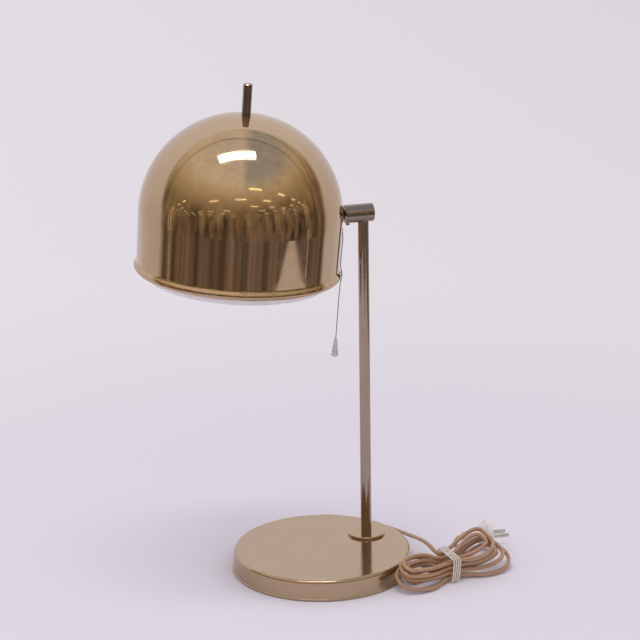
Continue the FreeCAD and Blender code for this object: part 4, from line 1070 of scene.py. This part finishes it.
    def world(self) -> None:
        """Pale surroundings, and the dim room that the metal mirrors in front of it."""
        world = bpy.data.worlds.new("surroundings")
        bpy.context.scene.world = world
        world.use_nodes = True
        tree = world.node_tree
        tree.nodes.clear()
        where = add_node(tree, "TexCoord").outputs["Generated"]
        turned = add_node(tree, "Mapping", {"Vector": where, "Rotation": (0, 0, -math.radians(self.turn))})
        split = add_node(tree, "SeparateXYZ", {"Vector": turned})
        side, up = split.outputs["X"], split.outputs["Z"]
        front = add_node(tree, "Math", {0: split.outputs["Y"], 1: -1.0}, operation="MULTIPLY")
        room = self.mirrored_room(tree, turned, side, front, up)
        ceiling = add_node(tree, "Math", {0: up, 1: 0.0}, operation="MAXIMUM")
        past = add_node(tree, "Math", {0: ceiling, 1: self.room_lift, 2: front}, operation="MULTIPLY_ADD")
        past = add_node(tree, "Math", {0: side, 1: self.room_lean, 2: past}, operation="MULTIPLY_ADD")
        edge = add_node(tree, "MapRange", {"Value": past, **stretch(self.room_edge)},
                        interpolation_type="SMOOTHSTEP")
        height = add_node(tree, "MapRange", {"Value": up, **stretch(self.mirrored_height)})
        inputs = {"Factor": height, 6: self.mirrored_low, 7: self.mirrored_high}
        backdrop = add_node(tree, "Mix", inputs, data_type="RGBA")
        mirrored = add_node(tree, "Mix", {"Factor": edge, 6: backdrop.outputs[2], 7: room}, data_type="RGBA")
        path = add_node(tree, "LightPath")
        glossy = path.outputs["Is Glossy Ray"]
        inputs = {"Factor": glossy, 6: linear(self.ambient_colour), 7: mirrored.outputs[2]}
        lit = add_node(tree, "Mix", inputs, data_type="RGBA")
        level = add_node(tree, "Mix", {"Factor": glossy, 2: self.ambient, 3: 1.0}, data_type="FLOAT")
        inputs = {0: path.outputs["Is Camera Ray"], 1: path.outputs["Is Transmission Ray"]}
        either = add_node(tree, "Math", inputs, operation="MAXIMUM")
        glow = add_node(tree, "Background", {"Color": lit.outputs[2], "Strength": level})
        seen = add_node(tree, "Background", {"Color": linear(self.seen_colour), "Strength": 1.0})
        mixed = add_node(tree, "MixShader", {0: either, 1: glow, 2: seen})
        add_node(tree, "OutputWorld", {"Surface": mixed})

    def mirrored_room(self, tree: Nodes, turned: bpy.types.Node, side: bpy.types.NodeSocket,
                      front: bpy.types.Node, up: bpy.types.NodeSocket) -> bpy.types.NodeSocket:
        """The room behind the camera: a pale ceiling with rows of lamps, and dark uprights below.

        Args:
            tree: The world's node tree.
            turned: The direction looked in, turned to face the camera.
            side: Its part to the right of the photograph.
            front: Its part towards the camera.
            up: Its part upwards.

        Returns:
            The room's colour in that direction.
        """
        risen = add_node(tree, "MapRange", {"Value": up, **stretch(self.room_height)})
        ramp = add_node(tree, "ValToRGB", {"Fac": risen})
        while len(ramp.color_ramp.elements) < len(self.room_stops):
            ramp.color_ramp.elements.new(0.5)
        for element, (at, code) in zip(ramp.color_ramp.elements, self.room_stops):
            element.position = at
            element.color = linear(code)
        tall = add_node(tree, "Mapping", {"Vector": turned, "Scale": self.upright_scale})
        broad = add_node(tree, "TexNoise", {"Vector": tall, "Scale": 1.0, "Detail": 5.0,
                                            "Roughness": self.upright_roughness,
                                            "Distortion": self.upright_bend})
        low_down = add_node(tree, "MapRange", {"Value": up, **stretch(self.upright_fade,
                                                                      self.upright_share)})
        shade = add_node(tree, "MapRange", {"Value": broad, **stretch(self.upright_band,
                                                                      self.upright_tone)})
        factor = add_node(tree, "Mix", {"Factor": low_down, 2: 1.0, 3: shade}, data_type="FLOAT")
        toned = add_node(tree, "VectorMath", {0: ramp.outputs["Color"], "Scale": factor}, operation="SCALE")
        safe_up = add_node(tree, "Math", {0: up, 1: self.lowest_up}, operation="MAXIMUM")
        across = add_node(tree, "Math", {0: side, 1: safe_up}, operation="DIVIDE")
        away = add_node(tree, "Math", {0: front, 1: safe_up}, operation="DIVIDE")
        rightward = add_node(tree, "MapRange", {"Value": across, **stretch(self.cool_side)})
        overhead = add_node(tree, "MapRange", {"Value": up, **stretch(self.cool_height)})
        cooled = add_node(tree, "Math", {0: rightward, 1: overhead}, operation="MULTIPLY")
        cooler = add_node(tree, "VectorMath", {0: toned, 1: self.cool_tint}, operation="MULTIPLY")
        inputs = {"Factor": cooled, 6: toned.outputs[0], 7: cooler.outputs[0]}
        ceiling = add_node(tree, "Mix", inputs, data_type="RGBA")
        beam = add_node(tree, "Math", {0: away, 1: self.beam_rate, 2: self.beam_start},
                        operation="MULTIPLY_ADD")
        beam = add_node(tree, "Math", {0: beam}, operation="FRACT")
        narrow = add_node(tree, "Math", {0: beam, 1: self.beam_width}, operation="LESS_THAN")
        behind = add_node(tree, "Math", {0: away, 1: self.beam_limit}, operation="LESS_THAN")
        beams = add_node(tree, "Math", {0: narrow, 1: behind}, operation="MULTIPLY")
        darker = add_node(tree, "VectorMath", {0: ceiling.outputs[2], "Scale": self.beam_tone},
                          operation="SCALE")
        inputs = {"Factor": beams, 6: ceiling.outputs[2], 7: darker.outputs[0]}
        beamed = add_node(tree, "Mix", inputs, data_type="RGBA")
        lamp = self.ceiling_lamps(tree, across, away)
        inputs = {0: linear(self.lamp_colour)[:3], "Scale": self.lamp_strength}
        bright = add_node(tree, "VectorMath", inputs, operation="SCALE")
        inputs = {"Factor": lamp, 6: beamed.outputs[2], 7: bright.outputs[0]}
        return add_node(tree, "Mix", inputs, data_type="RGBA").outputs[2]

    def ceiling_lamps(self, tree: Nodes, across: bpy.types.Node, away: bpy.types.Node) -> bpy.types.Node:
        """Uneven rows of small bright lamps on the ceiling.

        Args:
            tree: The world's node tree.
            across: How far to the right on the ceiling.
            away: How far off on the ceiling.

        Returns:
            1 on a lamp and 0 beside it.
        """
        row = add_node(tree, "Math", {0: away, 1: self.row_rate, 2: self.row_start},
                       operation="MULTIPLY_ADD")
        row_number = add_node(tree, "Math", {0: row}, operation="FLOOR")
        along_row = add_node(tree, "Math", {0: row}, operation="FRACT")
        in_row = add_node(tree, "Math", {0: along_row, 1: self.row_width}, operation="LESS_THAN")
        shifted = add_node(tree, "Math", {0: row_number, 1: self.column_shift}, operation="MULTIPLY")
        column = add_node(tree, "Math", {0: across, 1: self.column_rate, 2: shifted},
                          operation="MULTIPLY_ADD")
        column_number = add_node(tree, "Math", {0: column}, operation="FLOOR")
        along_column = add_node(tree, "Math", {0: column}, operation="FRACT")
        in_column = add_node(tree, "Math", {0: along_column, 1: self.column_width}, operation="LESS_THAN")
        cell = add_node(tree, "CombineXYZ", {"X": row_number, "Y": column_number})
        chance = add_node(tree, "TexWhiteNoise", {"Vector": cell}, noise_dimensions="3D").outputs["Value"]
        lit = add_node(tree, "Math", {0: chance, 1: self.dark_share}, operation="GREATER_THAN")
        far = add_node(tree, "MapRange", {"Value": away, **stretch(self.lamps_from)})
        near = add_node(tree, "MapRange", {"Value": away, **stretch(self.lamps_to)})
        lamp = in_row
        for part in (in_column, lit, far, near):
            lamp = add_node(tree, "Math", {0: lamp, 1: part}, operation="MULTIPLY")
        return lamp

    def build(self) -> None:
        """Set up everything round the lamp."""
        self.camera()
        self.floors()
        self.lamps()
        self.world()
        bpy.context.scene.view_settings.view_transform = "Standard"
        log.info("studio: camera, floor, lamps and surroundings")


def main() -> None:
    """Build the studio and the lamp's sub-assemblies in order, and log their sizes."""
    logging.basicConfig(level=logging.INFO, format="%(message)s")
    Studio().build()
    for group in (MainsCord(), Base(), Stem(), Barrel(), Shade(), PullSwitch()):
        group.build()
        log.info("%s done", type(group).__name__)
    bpy.context.view_layer.update()


if __name__ == "__main__":
    main()
